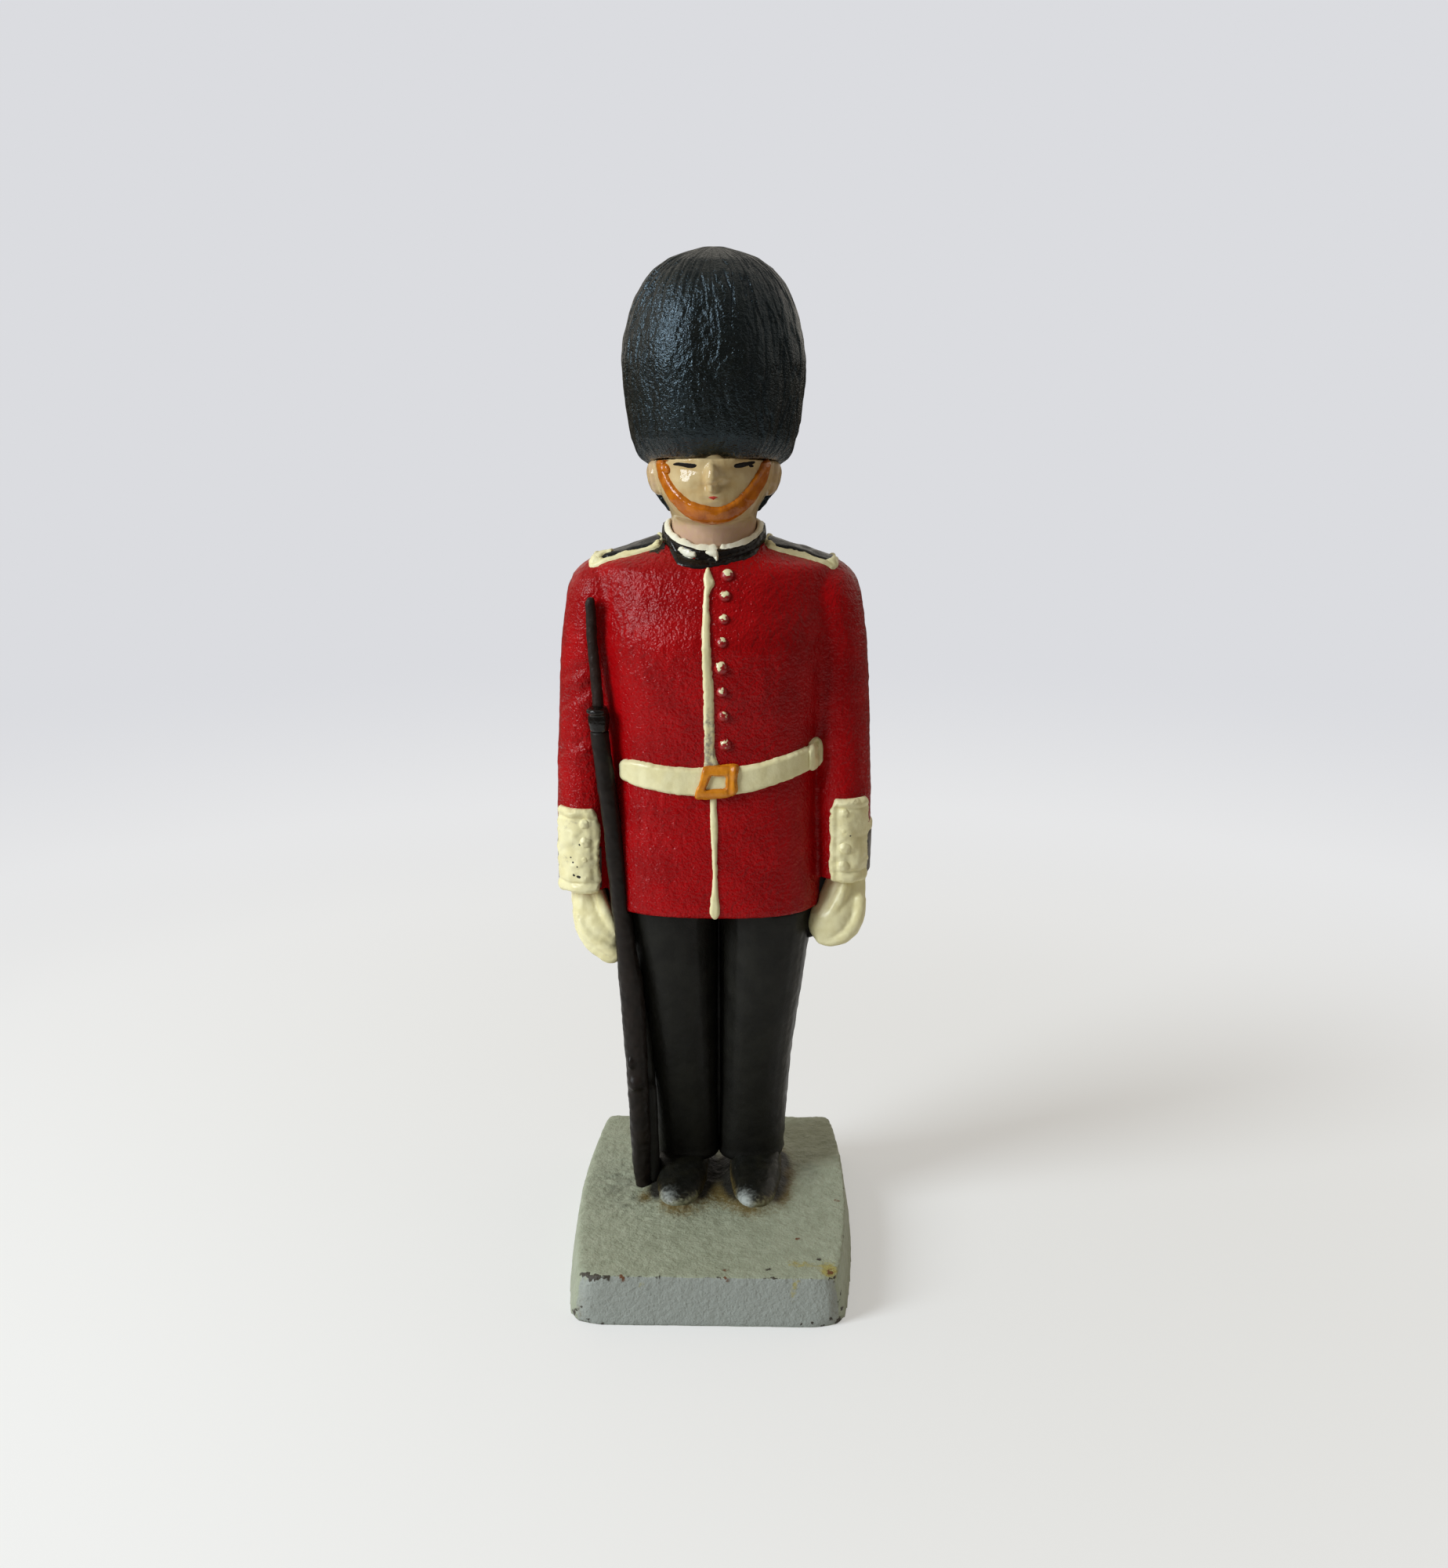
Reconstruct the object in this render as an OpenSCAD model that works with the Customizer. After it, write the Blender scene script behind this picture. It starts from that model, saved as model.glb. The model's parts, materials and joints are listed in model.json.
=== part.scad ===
// Toy foot guard at attention on a plinth, cast in pieces and painted.
// The figure faces -Y, +Z is up, and its right side is at -X. Sizes are in millimetres.

/* [Plinth] */
// Width of the plinth at the floor
plinth_w = 53; // [48:0.5:60]
// Depth of the plinth at the floor
plinth_d = 77; // [72:0.5:90]
// Height of the plinth
plinth_h = 10; // [8:0.5:14]
// How far each side slopes in between the floor and the top
plinth_slope = 1.5; // [0.5:0.1:3]
// How far the long sides bow out at their middle
plinth_bow = 2.6; // [0:0.1:3.4]
// How far the figure stands behind the middle of the plinth
figure_back = 11; // [6:0.5:13]

/* [Boots] */
// Width of a boot
boot_w = 11.2; // [10:0.1:13]
// Height of a boot up to the trouser hem
boot_h = 5; // [4:0.1:7]
// Reach of the toe in front of the figure's axis
boot_toe = 20; // [16:0.5:24]
// Reach of the heel behind the figure's axis
boot_heel = 8; // [7:0.5:11]
// Height of the toe cap
toe_h = 3.2; // [2.4:0.1:3.8]
// How far a boot stands outside the middle of its trouser leg
boot_out = 1; // [0.4:0.1:1.4]

/* [Trousers] */
// Length of a trouser leg from its hem to the tunic
leg_len = 57; // [50:0.5:64]
// How far both legs stand towards the figure's left
leg_x = 0.9; // [0:0.1:1.2]
// Groove between the two legs
leg_gap = 0.3; // [0.2:0.1:0.8]
// Width of a leg under the tunic
leg_top_w = 20; // [18:0.1:21]
// Width of a leg at its hem
leg_hem_w = 13.4; // [12:0.1:15]
// Depth of a leg under the tunic
leg_top_d = 29; // [26:0.5:31]
// Depth of a leg at its hem
leg_hem_d = 13.4; // [12:0.1:16]
// How far the trouser legs stand behind the figure's axis
leg_back = 1.7; // [0.8:0.1:2.4]

/* [Tunic] */
// Height of the chest above the tunic's hem
chest_up = 55; // [50:0.5:58]
// Height of the shoulder points above the hem
shoulder_up = 69.3; // [66:0.1:70]
// Height of the neck base above the hem
neck_up = 74; // [73:0.5:79]
// Width of the skirt at the hem
skirt_w = 44.2; // [42:0.2:47]
// Depth of the skirt at the hem
skirt_d = 33.6; // [32:0.2:38]
// Width of the waist
waist_w = 43.2; // [40:0.2:45]
// Depth of the waist
waist_d = 32.4; // [30:0.2:35]
// Width of the chest
chest_w = 47; // [44:0.2:49]
// Reach of the chest in front of the figure's axis
chest_front = 18.4; // [17:0.1:20]
// Reach of the back behind the figure's axis
chest_back = 17; // [16:0.1:19]
// Width across the shoulder points
shoulder_w = 48.4; // [46:0.2:51]
// Depth over the shoulders
shoulder_d = 25; // [23:0.2:28]
// Width of the neck base
neck_base_w = 20.8; // [20:0.1:23]

/* [Sleeves] */
// Reach of a sleeve from the middle at the shoulder
arm_out_shoulder = 29.3; // [28:0.1:31]
// Reach of a sleeve from the middle at the elbow
arm_out_elbow = 31.4; // [30.5:0.1:33]
// Reach of a sleeve from the middle at the cuff
arm_out_cuff = 31.9; // [31:0.1:34]
// Width of the arm at the shoulder
arm_w_shoulder = 14; // [12:0.1:16]
// Width of the arm at the elbow
arm_w_elbow = 13; // [11.5:0.1:15]
// Width of the arm at the cuff
arm_w_cuff = 11.6; // [10.5:0.1:13]
// Depth of the arm at the shoulder
arm_d_shoulder = 17.6; // [16:0.1:20]
// Depth of the arm at the elbow
arm_d_elbow = 16.4; // [15:0.1:18]
// Depth of the arm at the cuff
arm_d_cuff = 14.4; // [13:0.1:16]
// How far the cuff hangs in front of the shoulder
cuff_fwd = 3; // [1:0.1:4]
// Height of the sleeve's end above the tunic's hem
sleeve_end_up = 3.4; // [1.5:0.1:5]
// How much higher the left cuff hangs than the right one
left_cuff_lift = 2.8; // [0:0.1:4]

/* [Cuffs and gloves] */
// Height of the dark cuff
cuff_h = 9.5; // [7:0.1:12]
// Thickness of the dark cuff
cuff_t = 0.5; // [0.4:0.1:0.8]
// Height of the white piping above the cuff
cuff_piping_h = 1.6; // [1:0.1:2.5]
// Height of the white slash panel
slash_h = 17.2; // [15:0.1:20]
// Width of the white slash panel
slash_w = 7; // [5:0.1:8]
// Thickness of the white slash panel and the piping
slash_t = 0.9; // [0.9:0.1:1.4]
// Diameter of a button on the slash
cuff_button_d = 1.8; // [1.4:0.1:2.4]
// Buttons on each slash
cuff_button_count = 4; // [2:1:5]
// Length of a glove from the cuff to the fingertips
glove_len = 14; // [12:0.5:15]
// Width of a glove at the wrist
glove_wrist_w = 7; // [6:0.1:8]
// Sideways reach of the right wrist's middle
right_wrist_x = 25.9; // [25:0.1:27]
// Sideways reach of the left wrist's middle
left_wrist_x = 26.8; // [25:0.1:27]
// Width of a glove at the knuckles
glove_w = 11; // [9:0.1:12]
// Depth of a glove at the knuckles
glove_d = 12; // [10:0.1:13]

/* [Belt] */
// Height of the belt's lower edge above the tunic's hem
belt_up = 26.7; // [24:0.1:29]
// Width of the belt strap
belt_w = 5.8; // [5:0.1:7]
// Thickness of the belt strap
belt_t = 1.1; // [0.8:0.1:1.5]
// Width of the buckle
buckle_w = 7.6; // [6:0.1:9]
// Height of the buckle
buckle_h = 6.4; // [5.8:0.1:8]
// Width of the buckle's rim
buckle_rim = 1.5; // [1:0.1:2]
// How far the buckle stands out from the belt
buckle_t = 0.7; // [0.5:0.1:1]
// Sideways place of the buckle
buckle_x = 1; // [0:0.1:2]
// Width of the belt's keeper
keeper_w = 2; // [1.5:0.1:3]
// How far the keeper stands out from the belt
keeper_t = 1; // [0.6:0.1:1.2]
// How far the keeper reaches above and below the belt
keeper_over = 0.5; // [0.3:0.1:0.8]

/* [Front trim] */
// Width of the piping down the front
piping_w = 1.4; // [1:0.1:2]
// Thickness of the piping down the front
piping_t = 0.6; // [0.5:0.1:1]
// Sideways place of the piping
piping_x = -0.5; // [-1:0.1:0]
// Diameter of a tunic button
button_d = 2.1; // [1.6:0.1:2.6]
// Sideways place of the buttons
button_x = 2.3; // [2.1:0.1:4]
// Number of tunic buttons
button_count = 8; // [5:1:9]
// Clear height between the lowest button and the belt
button_low = 4.2; // [3:0.1:6]

/* [Collar and straps] */
// Radius of the collar at its foot
collar_foot_r = 10.7; // [10.4:0.1:12]
// Radius of the collar at its rim
collar_rim_r = 9.7; // [9.6:0.1:10.4]
// Height of the collar's foot in front, below the neck base
collar_drop = 3.6; // [3:0.1:4.5]
// Height of the collar's rim above the neck base, at the sides
collar_h = 2.9; // [2.2:0.1:3.2]
// Forward tilt of the collar's rim
collar_tilt = 20; // [14:1:22]
// Thickness of the white lining
lining_t = 0.6; // [0.5:0.1:0.8]
// How far the lining stands above the collar
lining_rise = 1.2; // [0.8:0.1:1.4]
// Gap between the neck and the lining
neck_gap = 0.3; // [0.2:0.05:0.5]
// Width of the badge on the collar
badge_w = 3.4; // [2.5:0.1:4]
// Height of the badge on the collar
badge_h = 1.8; // [1.4:0.1:2.2]
// How far the badge stands out from the collar
badge_t = 0.5; // [0.4:0.1:0.7]
// Width of a shoulder strap with its edging
strap_w = 9; // [7:0.1:11]
// Width of a shoulder strap's edging
strap_edge_w = 1.2; // [0.8:0.1:1.6]
// Thickness of a shoulder strap
strap_t = 0.7; // [0.5:0.1:1]
// How far the edging stands above the strap
edging_rise = 0.3; // [0.2:0.1:0.5]

/* [Head] */
// Radius of the neck
neck_r = 8.4; // [8:0.1:8.6]
// Height of the chin above the neck base
chin_up = 4.8; // [4.6:0.1:6]
// Height of the fur cap's rim above the neck base
rim_up = 15.3; // [14:0.1:17]
// Backward slope of the fur cap's rim, in degrees
rim_tilt = 8.5; // [4:0.5:11]
// Width of the head at the cheeks
face_w = 22; // [20:0.1:24]
// Reach of the face in front of the figure's axis
face_front = 14.4; // [13:0.1:15]
// Reach of the head behind the figure's axis
head_back = 13; // [12:0.1:14.5]
// How far the nose stands out from the face
nose_out = 2.6; // [1.5:0.1:3]
// How far the ears stand out from the head
ear_out = 2.2; // [1:0.1:2.6]
// Width of the chin strap
chin_strap_w = 3; // [2:0.1:3.6]
// Thickness of the chin strap
chin_strap_t = 0.8; // [0.5:0.1:1.2]
// Thickness of the hair at the nape
hair_t = 2; // [1:0.1:2.4]

/* [Fur cap] */
// Height of the fur cap above its rim
cap_h = 40.7; // [34:0.5:46]
// Widest radius of the fur cap
cap_r = 18.2; // [17:0.1:19.5]
// Radius of the fur cap at its rim
cap_rim_r = 16; // [15:0.1:16.8]
// Number of main locks of fur round the cap
lock_count = 8; // [6:1:12]
// Depth of the grooves between the locks
lock_groove = 0.5; // [0.2:0.1:0.8]
// How far the locks sway sideways between the crown and the rim, in degrees
lock_sway = 6; // [0:1:10]

/* [Rifle] */
// Height of the muzzle above the tunic's hem
muzzle_up = 64; // [60:0.5:67]
// Height of the nose cap's top above the tunic's hem
nose_up = 42.5; // [40:0.5:46]
// Height of the nose cap
nose_cap_h = 5; // [4:0.1:7]
// Sideways reach of the butt
butt_x = 14.8; // [14.6:0.1:17]
// Sideways reach of the grip
grip_x = 17.2; // [16:0.1:18]
// Sideways reach of the nose cap
nose_x = 21.9; // [21:0.1:22.6]
// Sideways reach of the muzzle
muzzle_x = 23.3; // [22:0.1:24]
// Reach of the rifle in front of the figure's axis
rifle_fwd = 11; // [10:0.1:12]
// Diameter of the barrel
barrel_d = 2.3; // [1.8:0.1:2.8]
// Width of the stock at the fore end
fore_w = 3.7; // [3:0.1:4]
// Width of the stock at the grip
grip_w = 5; // [4:0.1:5.6]

/* [Inner fixings] */
// Diameter of a tie rod
rod_d = 3; // [2.5:0.1:3.5]
// Sideways place of a tie rod
rod_x = 7.4; // [6.5:0.1:8]
// How far a tie rod lies behind the figure's axis
rod_back = 4; // [3:0.1:4.5]
// Depth of a tie rod in the tunic
rod_grip = 12; // [8:0.5:15]
// Width of a tie nut across its flats
nut_flats = 5.5; // [5:0.1:6]
// Height of a tie nut
nut_h = 2.4; // [2:0.1:3]
// Diameter of a tunic screw
screw_d = 3; // [2.5:0.1:4]
// Diameter of a tunic screw's head
screw_head_d = 6; // [5.5:0.1:7]
// Height of a tunic screw's head
screw_head_h = 2; // [1.6:0.1:2.6]
// Length of a tunic screw in the front half
screw_grip = 9; // [6:0.5:12]
// Diameter of the neck spigot
spigot_d = 10; // [8:0.1:11]
// Diameter of the spigot's flange
flange_d = 13.6; // [13:0.1:14.2]
// Height of the spigot's flange
flange_h = 2; // [1.5:0.1:3]
// Height of the neck socket's top above the collar's foot
socket_up = 1; // [0.5:0.1:1.5]
// Outer diameter of the neck socket
socket_d = 15.6; // [15:0.1:16]
// Length of the neck socket
socket_len = 11; // [8:0.5:12]
// Length of the spigot in the head
spigot_grip = 8; // [6:0.5:9]
// Running clearance of the spigot, on the radius
running_fit = 0.05; // [0.03:0.01:0.1]
// Clearance round rods, nuts and screws, on the radius
fixing_fit = 0.1; // [0.05:0.01:0.2]
// Play of the head along its axis
axial_play = 0.2; // [0.1:0.05:0.3]

/* [Hidden] */

right = -1;
left = 1;
far = 400;
$fn = 32;

// Heights and places that follow from the sizes above
axis_y = figure_back;
hem_z = plinth_h + boot_h + leg_len;
belt_z = hem_z + belt_up;
chest_z = hem_z + chest_up;
shoulder_z = hem_z + shoulder_up;
neck_z = hem_z + neck_up;
elbow_z = belt_z + 2 * belt_w;
collar_foot_z = neck_z - collar_drop;
chin_z = neck_z + chin_up;
rim_z = neck_z + rim_up;
cap_top_z = rim_z + cap_h;
muzzle_z = hem_z + muzzle_up;
nose_top_z = hem_z + nose_up;
nose_low_z = nose_top_z - nose_cap_h;
leg_y = axis_y + leg_back;
socket_top_z = collar_foot_z + socket_up;
socket_low_z = socket_top_z - socket_len;
neck_low_z = socket_top_z + axial_play;
lining_r = neck_r + neck_gap;
collar_bore_r = lining_r + lining_t;
function sleeve_end_z(side) = hem_z + sleeve_end_up + (side == left ? left_cuff_lift : 0);

function between(low, high, t) = low + (high - low) * t;

// Smooth curves through stations: each row is a height and then the values at that height
function secant(rows, i, k) = (rows[i + 1][k] - rows[i][k]) / (rows[i + 1][0] - rows[i][0]);
function tangent(rows, i, k) =
    i == 0 ? secant(rows, 0, k)
    : i == len(rows) - 1 ? secant(rows, i - 1, k)
    : let (below = secant(rows, i - 1, k), above = secant(rows, i, k))
      below * above <= 0 ? 0 : 2 * below * above / (below + above);
function span_of(rows, z, i = 0) =
    i >= len(rows) - 2 || z < rows[i + 1][0] ? i : span_of(rows, z, i + 1);
function station(rows, z, k) =
    let (i = span_of(rows, z), gap = rows[i + 1][0] - rows[i][0], t = (z - rows[i][0]) / gap)
    (2 * t + 1) * (1 - t) * (1 - t) * rows[i][k] + t * (1 - t) * (1 - t) * gap * tangent(rows, i, k)
    + (3 - 2 * t) * t * t * rows[i + 1][k] - (1 - t) * t * t * gap * tangent(rows, i + 1, k);
function levels(rows, steps) =
    [for (i = [0 : len(rows) - 2]) for (s = [0 : steps - 1])
        rows[i][0] + (rows[i + 1][0] - rows[i][0]) * s / steps, rows[len(rows) - 1][0]];

// Level sections: a row is height, middle x, middle y, half width, front reach, back reach, squareness
function section(rows, z, sides, turn = 0) =
    let (mid_x = station(rows, z, 1), mid_y = station(rows, z, 2), half_w = station(rows, z, 3),
         front = station(rows, z, 4), back = station(rows, z, 5), square = station(rows, z, 6))
    [for (j = [0 : sides - 1])
        let (c = cos(360 * j / sides + turn), s = sin(360 * j / sides + turn),
             k = pow(pow(abs(c), square) + pow(abs(s), square), -1 / square))
        [mid_x + half_w * c * k, mid_y + (s < 0 ? front : back) * s * k, z]];
function form(rows, steps, sides) = [for (z = levels(rows, steps)) section(rows, z, sides)];

// The same form, grown outwards by an even thickness
function outward(grid, i, j) =
    let (sides = len(grid[0]),
         across = grid[i][(j + 1) % sides] - grid[i][(j + sides - 1) % sides],
         up = grid[min(i + 1, len(grid) - 1)][j] - grid[max(i - 1, 0)][j],
         normal = cross(across, up))
    normal / norm(normal);
function swell(grid, t) =
    [for (i = [0 : len(grid) - 1]) [for (j = [0 : len(grid[0]) - 1]) grid[i][j] + t * outward(grid, i, j)]];

// Closed skin over a stack of rings
module skin(grid) {
    rings = len(grid);
    sides = len(grid[0]);
    walls = [for (i = [0 : rings - 2]) for (j = [0 : sides - 1])
        let (a = i * sides + j, b = i * sides + (j + 1) % sides)
        each [[a, a + sides, b + sides], [a, b + sides, b]]];
    floor_cap = [for (j = [0 : sides - 1]) j];
    roof_cap = [for (j = [sides - 1 : -1 : 0]) (rings - 1) * sides + j];
    polyhedron([for (ring = grid) each ring], concat(walls, [floor_cap, roof_cap]), convexity = 10);
}

// One piece, cast in one pour
module casting() { resize([0, 0, 0]) union() children(); }

// Space in front of the figure's axis, or behind it
module front_half() { translate([-far / 2, axis_y - far, -far / 2]) cube(far); }
module back_half() { translate([-far / 2, axis_y, -far / 2]) cube(far); }

// Upright slab of space between two places across and two heights, in front of the axis
module front_window(x0, x1, z0, z1) { translate([x0, axis_y - far, z0]) cube([x1 - x0, far, z1 - z0]); }

// Torso, from the hem up to the neck base
torso_rows = [
    [hem_z, 0, axis_y, skirt_w / 2, skirt_d / 2, skirt_d / 2, 2.7],
    [belt_z + belt_w / 2, 0, axis_y, waist_w / 2, waist_d / 2, waist_d / 2, 2.6],
    [chest_z, 0, axis_y, chest_w / 2, chest_front, chest_back, 2.4],
    [(chest_z + shoulder_z) / 2, 0, axis_y, (chest_w + shoulder_w) / 4, (2 * chest_front + shoulder_d) / 4,
     (2 * chest_back + shoulder_d) / 4, 2.4],
    [shoulder_z, 0, axis_y, shoulder_w / 2, shoulder_d / 2, shoulder_d / 2, 2.3],
    [(shoulder_z + neck_z) / 2, 0, axis_y, (shoulder_w + neck_base_w) / 4, collar_rim_r,
     (shoulder_d + neck_base_w) / 4, 2.2],
    [neck_z, 0, axis_y, neck_base_w / 2, neck_base_w / 4, neck_base_w / 2, 2]];
torso_grid = form(torso_rows, 3, 44);

// Front of the torso at a place across and a height
function torso_front(x, z) =
    let (square = station(torso_rows, z, 6))
    axis_y - station(torso_rows, z, 4)
    * pow(1 - pow(abs(x) / station(torso_rows, z, 3), square), 1 / square);

// Sleeves, from the cuff's end up to the shoulder cap
function sleeve_row(side, z, out, w, d, fwd) =
    [z, side * (out - w / 2), axis_y - fwd, w / 2, d / 2, d / 2, 2.1];
function sleeve_rows(side) = [
    sleeve_row(side, sleeve_end_z(side), arm_out_cuff - 0.2, arm_w_cuff, arm_d_cuff, cuff_fwd),
    sleeve_row(side, sleeve_end_z(side) + slash_h, arm_out_cuff, 1.05 * arm_w_cuff, 1.04 * arm_d_cuff,
               0.9 * cuff_fwd),
    sleeve_row(side, elbow_z, arm_out_elbow, arm_w_elbow, arm_d_elbow, 0.2 * cuff_fwd),
    sleeve_row(side, chest_z, between(arm_out_shoulder, arm_out_elbow, 0.55), arm_w_shoulder,
               arm_d_shoulder, 0),
    sleeve_row(side, shoulder_z - 6, arm_out_shoulder, arm_w_shoulder, arm_d_shoulder, 0),
    sleeve_row(side, shoulder_z - 2, arm_out_shoulder - 1.5, 0.82 * arm_w_shoulder, 0.8 * arm_d_shoulder,
               0),
    sleeve_row(side, shoulder_z + 0.6, arm_out_shoulder - 4.4, 0.4 * arm_w_shoulder, 0.4 * arm_d_shoulder,
               0)];
function sleeve_grid(side) = form(sleeve_rows(side), 2, 32);

module torso_form(t = 0) { skin(t == 0 ? torso_grid : swell(torso_grid, t)); }
module sleeve_form(side, t = 0) { skin(t == 0 ? sleeve_grid(side) : swell(sleeve_grid(side), t)); }
module tunic_form(t = 0) {
    torso_form(t);
    sleeve_form(right, t);
    sleeve_form(left, t);
}

// Trim that lies on the tunic with an even thickness, inside a window of space
module tunic_trim(t) {
    difference() {
        intersection() {
            union() tunic_form(t);
            children();
        }
        tunic_form();
    }
}

// Plinth
function plinth_ring(z, inset) =
    let (w = plinth_w / 2 - inset, d = plinth_d / 2 - inset,
         side = [for (t = [-1 : 0.2 : 1]) [w + plinth_bow * (1 - t * t), d * t, z]])
    concat(side, [for (p = side) [-p[0], -p[1], z]]);
module plinth_block() { skin([plinth_ring(0, 0), plinth_ring(plinth_h, plinth_slope)]); }
nut_seat_z = 1.6 * nut_h;
nut_pocket_r = nut_flats / 2 / cos(30) + 3 * fixing_fit;
rod_r = rod_d / 2;
rod_hole_r = rod_r + fixing_fit;
rod_y = axis_y + rod_back;

module at_rods() { for (side = [right, left]) translate([leg_x + side * rod_x, rod_y, 0]) children(); }
module rod_holes() { at_rods() cylinder(r = rod_hole_r, h = hem_z + rod_grip + fixing_fit); }

module plinth() {
    color("slategray") difference() {
        plinth_block();
        rod_holes();
        at_rods() translate([0, 0, -1]) cylinder(r = nut_pocket_r, h = nut_seat_z + 1);
    }
}

// Tie rods and their nuts
module tie_rods() {
    rod_low_z = nut_seat_z - nut_h - 0.4;
    color("dimgray") at_rods() translate([0, 0, rod_low_z])
        cylinder(r = rod_r, h = hem_z + rod_grip - rod_low_z);
}
module tie_nuts() {
    color("gray") at_rods() translate([0, 0, nut_seat_z - nut_h]) difference() {
        cylinder(d = nut_flats / cos(30), h = nut_h, $fn = 6);
        translate([0, 0, -1]) cylinder(r = rod_r + fixing_fit / 2, h = nut_h + 2);
    }
}

// Boots
leg_hem_z = plinth_h + boot_h;
leg_hem_x = (leg_gap + leg_hem_w) / 2;
function boot_row(side, z, w, toe, square) =
    [z, leg_x + side * (leg_hem_x + boot_out), axis_y, w / 2, toe, boot_heel, square];
function boot_rows(side) = [
    boot_row(side, plinth_h, boot_w, boot_toe - 0.6, 2.5),
    boot_row(side, plinth_h + toe_h / 2, boot_w, boot_toe, 2.5),
    boot_row(side, plinth_h + toe_h, boot_w - 1, boot_toe - 2.5, 2.4),
    boot_row(side, plinth_h + (toe_h + boot_h) / 2, boot_w - 1, 0.6 * boot_toe, 2.3),
    boot_row(side, leg_hem_z, boot_w - 1.2, 0.3 * boot_toe, 2.2)];
module boot_form(side) { skin(form(boot_rows(side), 2, 28)); }
module boot(side) {
    color([0.10, 0.10, 0.08]) difference() {
        boot_form(side);
        rod_holes();
    }
}
module right_boot() { boot(right); }
module left_boot() { boot(left); }

// Trouser legs
function leg_row(side, z, w, front, back) =
    [z, leg_x + side * (leg_gap + w) / 2, leg_y, w / 2, front, back, 2.5];
function leg_rows(side) = [
    leg_row(side, leg_hem_z, leg_hem_w, leg_hem_d / 2, leg_hem_d / 2),
    leg_row(side, leg_hem_z + leg_len / 3, between(leg_hem_w, leg_top_w, 0.22),
            between(leg_hem_d, leg_top_d, 0.36) / 2, between(leg_hem_d, leg_top_d, 0.3) / 2),
    leg_row(side, leg_hem_z + leg_len * 2 / 3, between(leg_hem_w, leg_top_w, 0.6),
            between(leg_hem_d, leg_top_d, 0.75) / 2, between(leg_hem_d, leg_top_d, 0.7) / 2),
    leg_row(side, hem_z, leg_top_w, leg_top_d / 2 + 0.6, leg_top_d / 2 - 0.6)];
module leg_form(side) { skin(form(leg_rows(side), 3, 32)); }
module trouser_leg(side) {
    color([0.09, 0.08, 0.07]) difference() {
        leg_form(side);
        rod_holes();
    }
}
module right_trouser_leg() { trouser_leg(right); }
module left_trouser_leg() { trouser_leg(left); }

// Space for the neck, its socket and the spigot's flange
flange_top_z = socket_low_z - axial_play;
flange_low_z = flange_top_z - flange_h;
module neck_well() {
    translate([0, axis_y, socket_top_z]) cylinder(r = collar_bore_r, h = far, $fn = 48);
}
module socket_space() {
    translate([0, axis_y, socket_low_z]) cylinder(d = socket_d, h = socket_len);
    translate([0, axis_y, flange_low_z - axial_play])
        cylinder(r = flange_d / 2 + fixing_fit, h = flange_h + 2 * axial_play);
}

// Screws that hold the back of the tunic to its front
screw_heights = [hem_z + belt_up / 2, chest_z - belt_w];
screw_seat_y = axis_y + waist_d / 2 - 2 * screw_head_h;
module at_screws() {
    for (z = screw_heights) translate([0, screw_seat_y, z]) rotate([90, 0, 0]) children();
}
screw_reach = screw_seat_y - axis_y + screw_grip;
module screw_space() {
    at_screws() cylinder(r = screw_d / 2 + fixing_fit, h = screw_reach + fixing_fit);
    at_screws() translate([0, 0, -far]) cylinder(r = screw_head_d / 2 + fixing_fit, h = far);
}
module tunic_screws() {
    slot_w = screw_head_d / 6;
    slot_deep = screw_head_h / 2;
    color("gray") at_screws() difference() {
        union() {
            cylinder(d = screw_d, h = screw_reach);
            translate([0, 0, -screw_head_h]) cylinder(d = screw_head_d, h = screw_head_h);
        }
        translate([-screw_head_d, -slot_w / 2, -screw_head_h - 1])
            cube([2 * screw_head_d, slot_w, slot_deep + 1]);
    }
}

// Tunic halves
module tunic_half() {
    color([0.62, 0.05, 0.06]) difference() {
        casting() intersection() {
            difference() {
                torso_form();
                neck_well();
            }
            children();
        }
        socket_space();
        screw_space();
        rod_holes();
    }
}
module tunic_front() { tunic_half() front_half(); }
module tunic_back() { tunic_half() back_half(); }

// Sleeves
module sleeve(side) {
    color([0.62, 0.05, 0.06]) casting() difference() {
        sleeve_form(side);
        torso_form();
    }
}
module right_sleeve() { sleeve(right); }
module left_sleeve() { sleeve(left); }

// Rifle
function rifle_row(z, reach, w, fwd) = [z, right * reach, axis_y - fwd, w / 2, 0.58 * w, 0.58 * w, 2.3];
grip_z = hem_z - 0.9 * glove_len;
stock_rows = [
    rifle_row(plinth_h, butt_x, 0.62 * grip_w, rifle_fwd - 1.4),
    rifle_row(plinth_h + boot_h, butt_x + 0.2, 0.8 * grip_w, rifle_fwd - 1.4),
    rifle_row((plinth_h + grip_z) / 2, between(butt_x, grip_x, 0.4), 0.9 * grip_w, rifle_fwd - 1),
    rifle_row(grip_z - 4, grip_x - 0.4, grip_w, rifle_fwd - 0.6),
    rifle_row(grip_z + 4, grip_x + 0.5, fore_w + 0.3, rifle_fwd),
    rifle_row(belt_z, between(grip_x, nose_x, 0.8), fore_w, rifle_fwd + 0.6),
    rifle_row(nose_low_z, nose_x, fore_w, rifle_fwd + 0.4)];
nose_rows = [
    rifle_row(nose_low_z, nose_x, fore_w, rifle_fwd + 0.4),
    rifle_row(nose_low_z + nose_cap_h / 2, nose_x, fore_w + 0.7, rifle_fwd + 0.4),
    rifle_row(nose_top_z, nose_x, 1.4 * barrel_d, rifle_fwd + 0.3)];
barrel_rows = [
    rifle_row(nose_top_z, nose_x, barrel_d, rifle_fwd + 0.3),
    rifle_row(muzzle_z - barrel_d / 2, muzzle_x, 0.85 * barrel_d, rifle_fwd - 0.8),
    rifle_row(muzzle_z, muzzle_x, 0.5 * barrel_d, rifle_fwd - 0.8)];
module stock_form() { skin(form(stock_rows, 3, 16)); }
module nose_form() { skin(form(nose_rows, 3, 16)); }
module barrel_form() { skin(form(barrel_rows, 3, 12)); }
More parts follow.
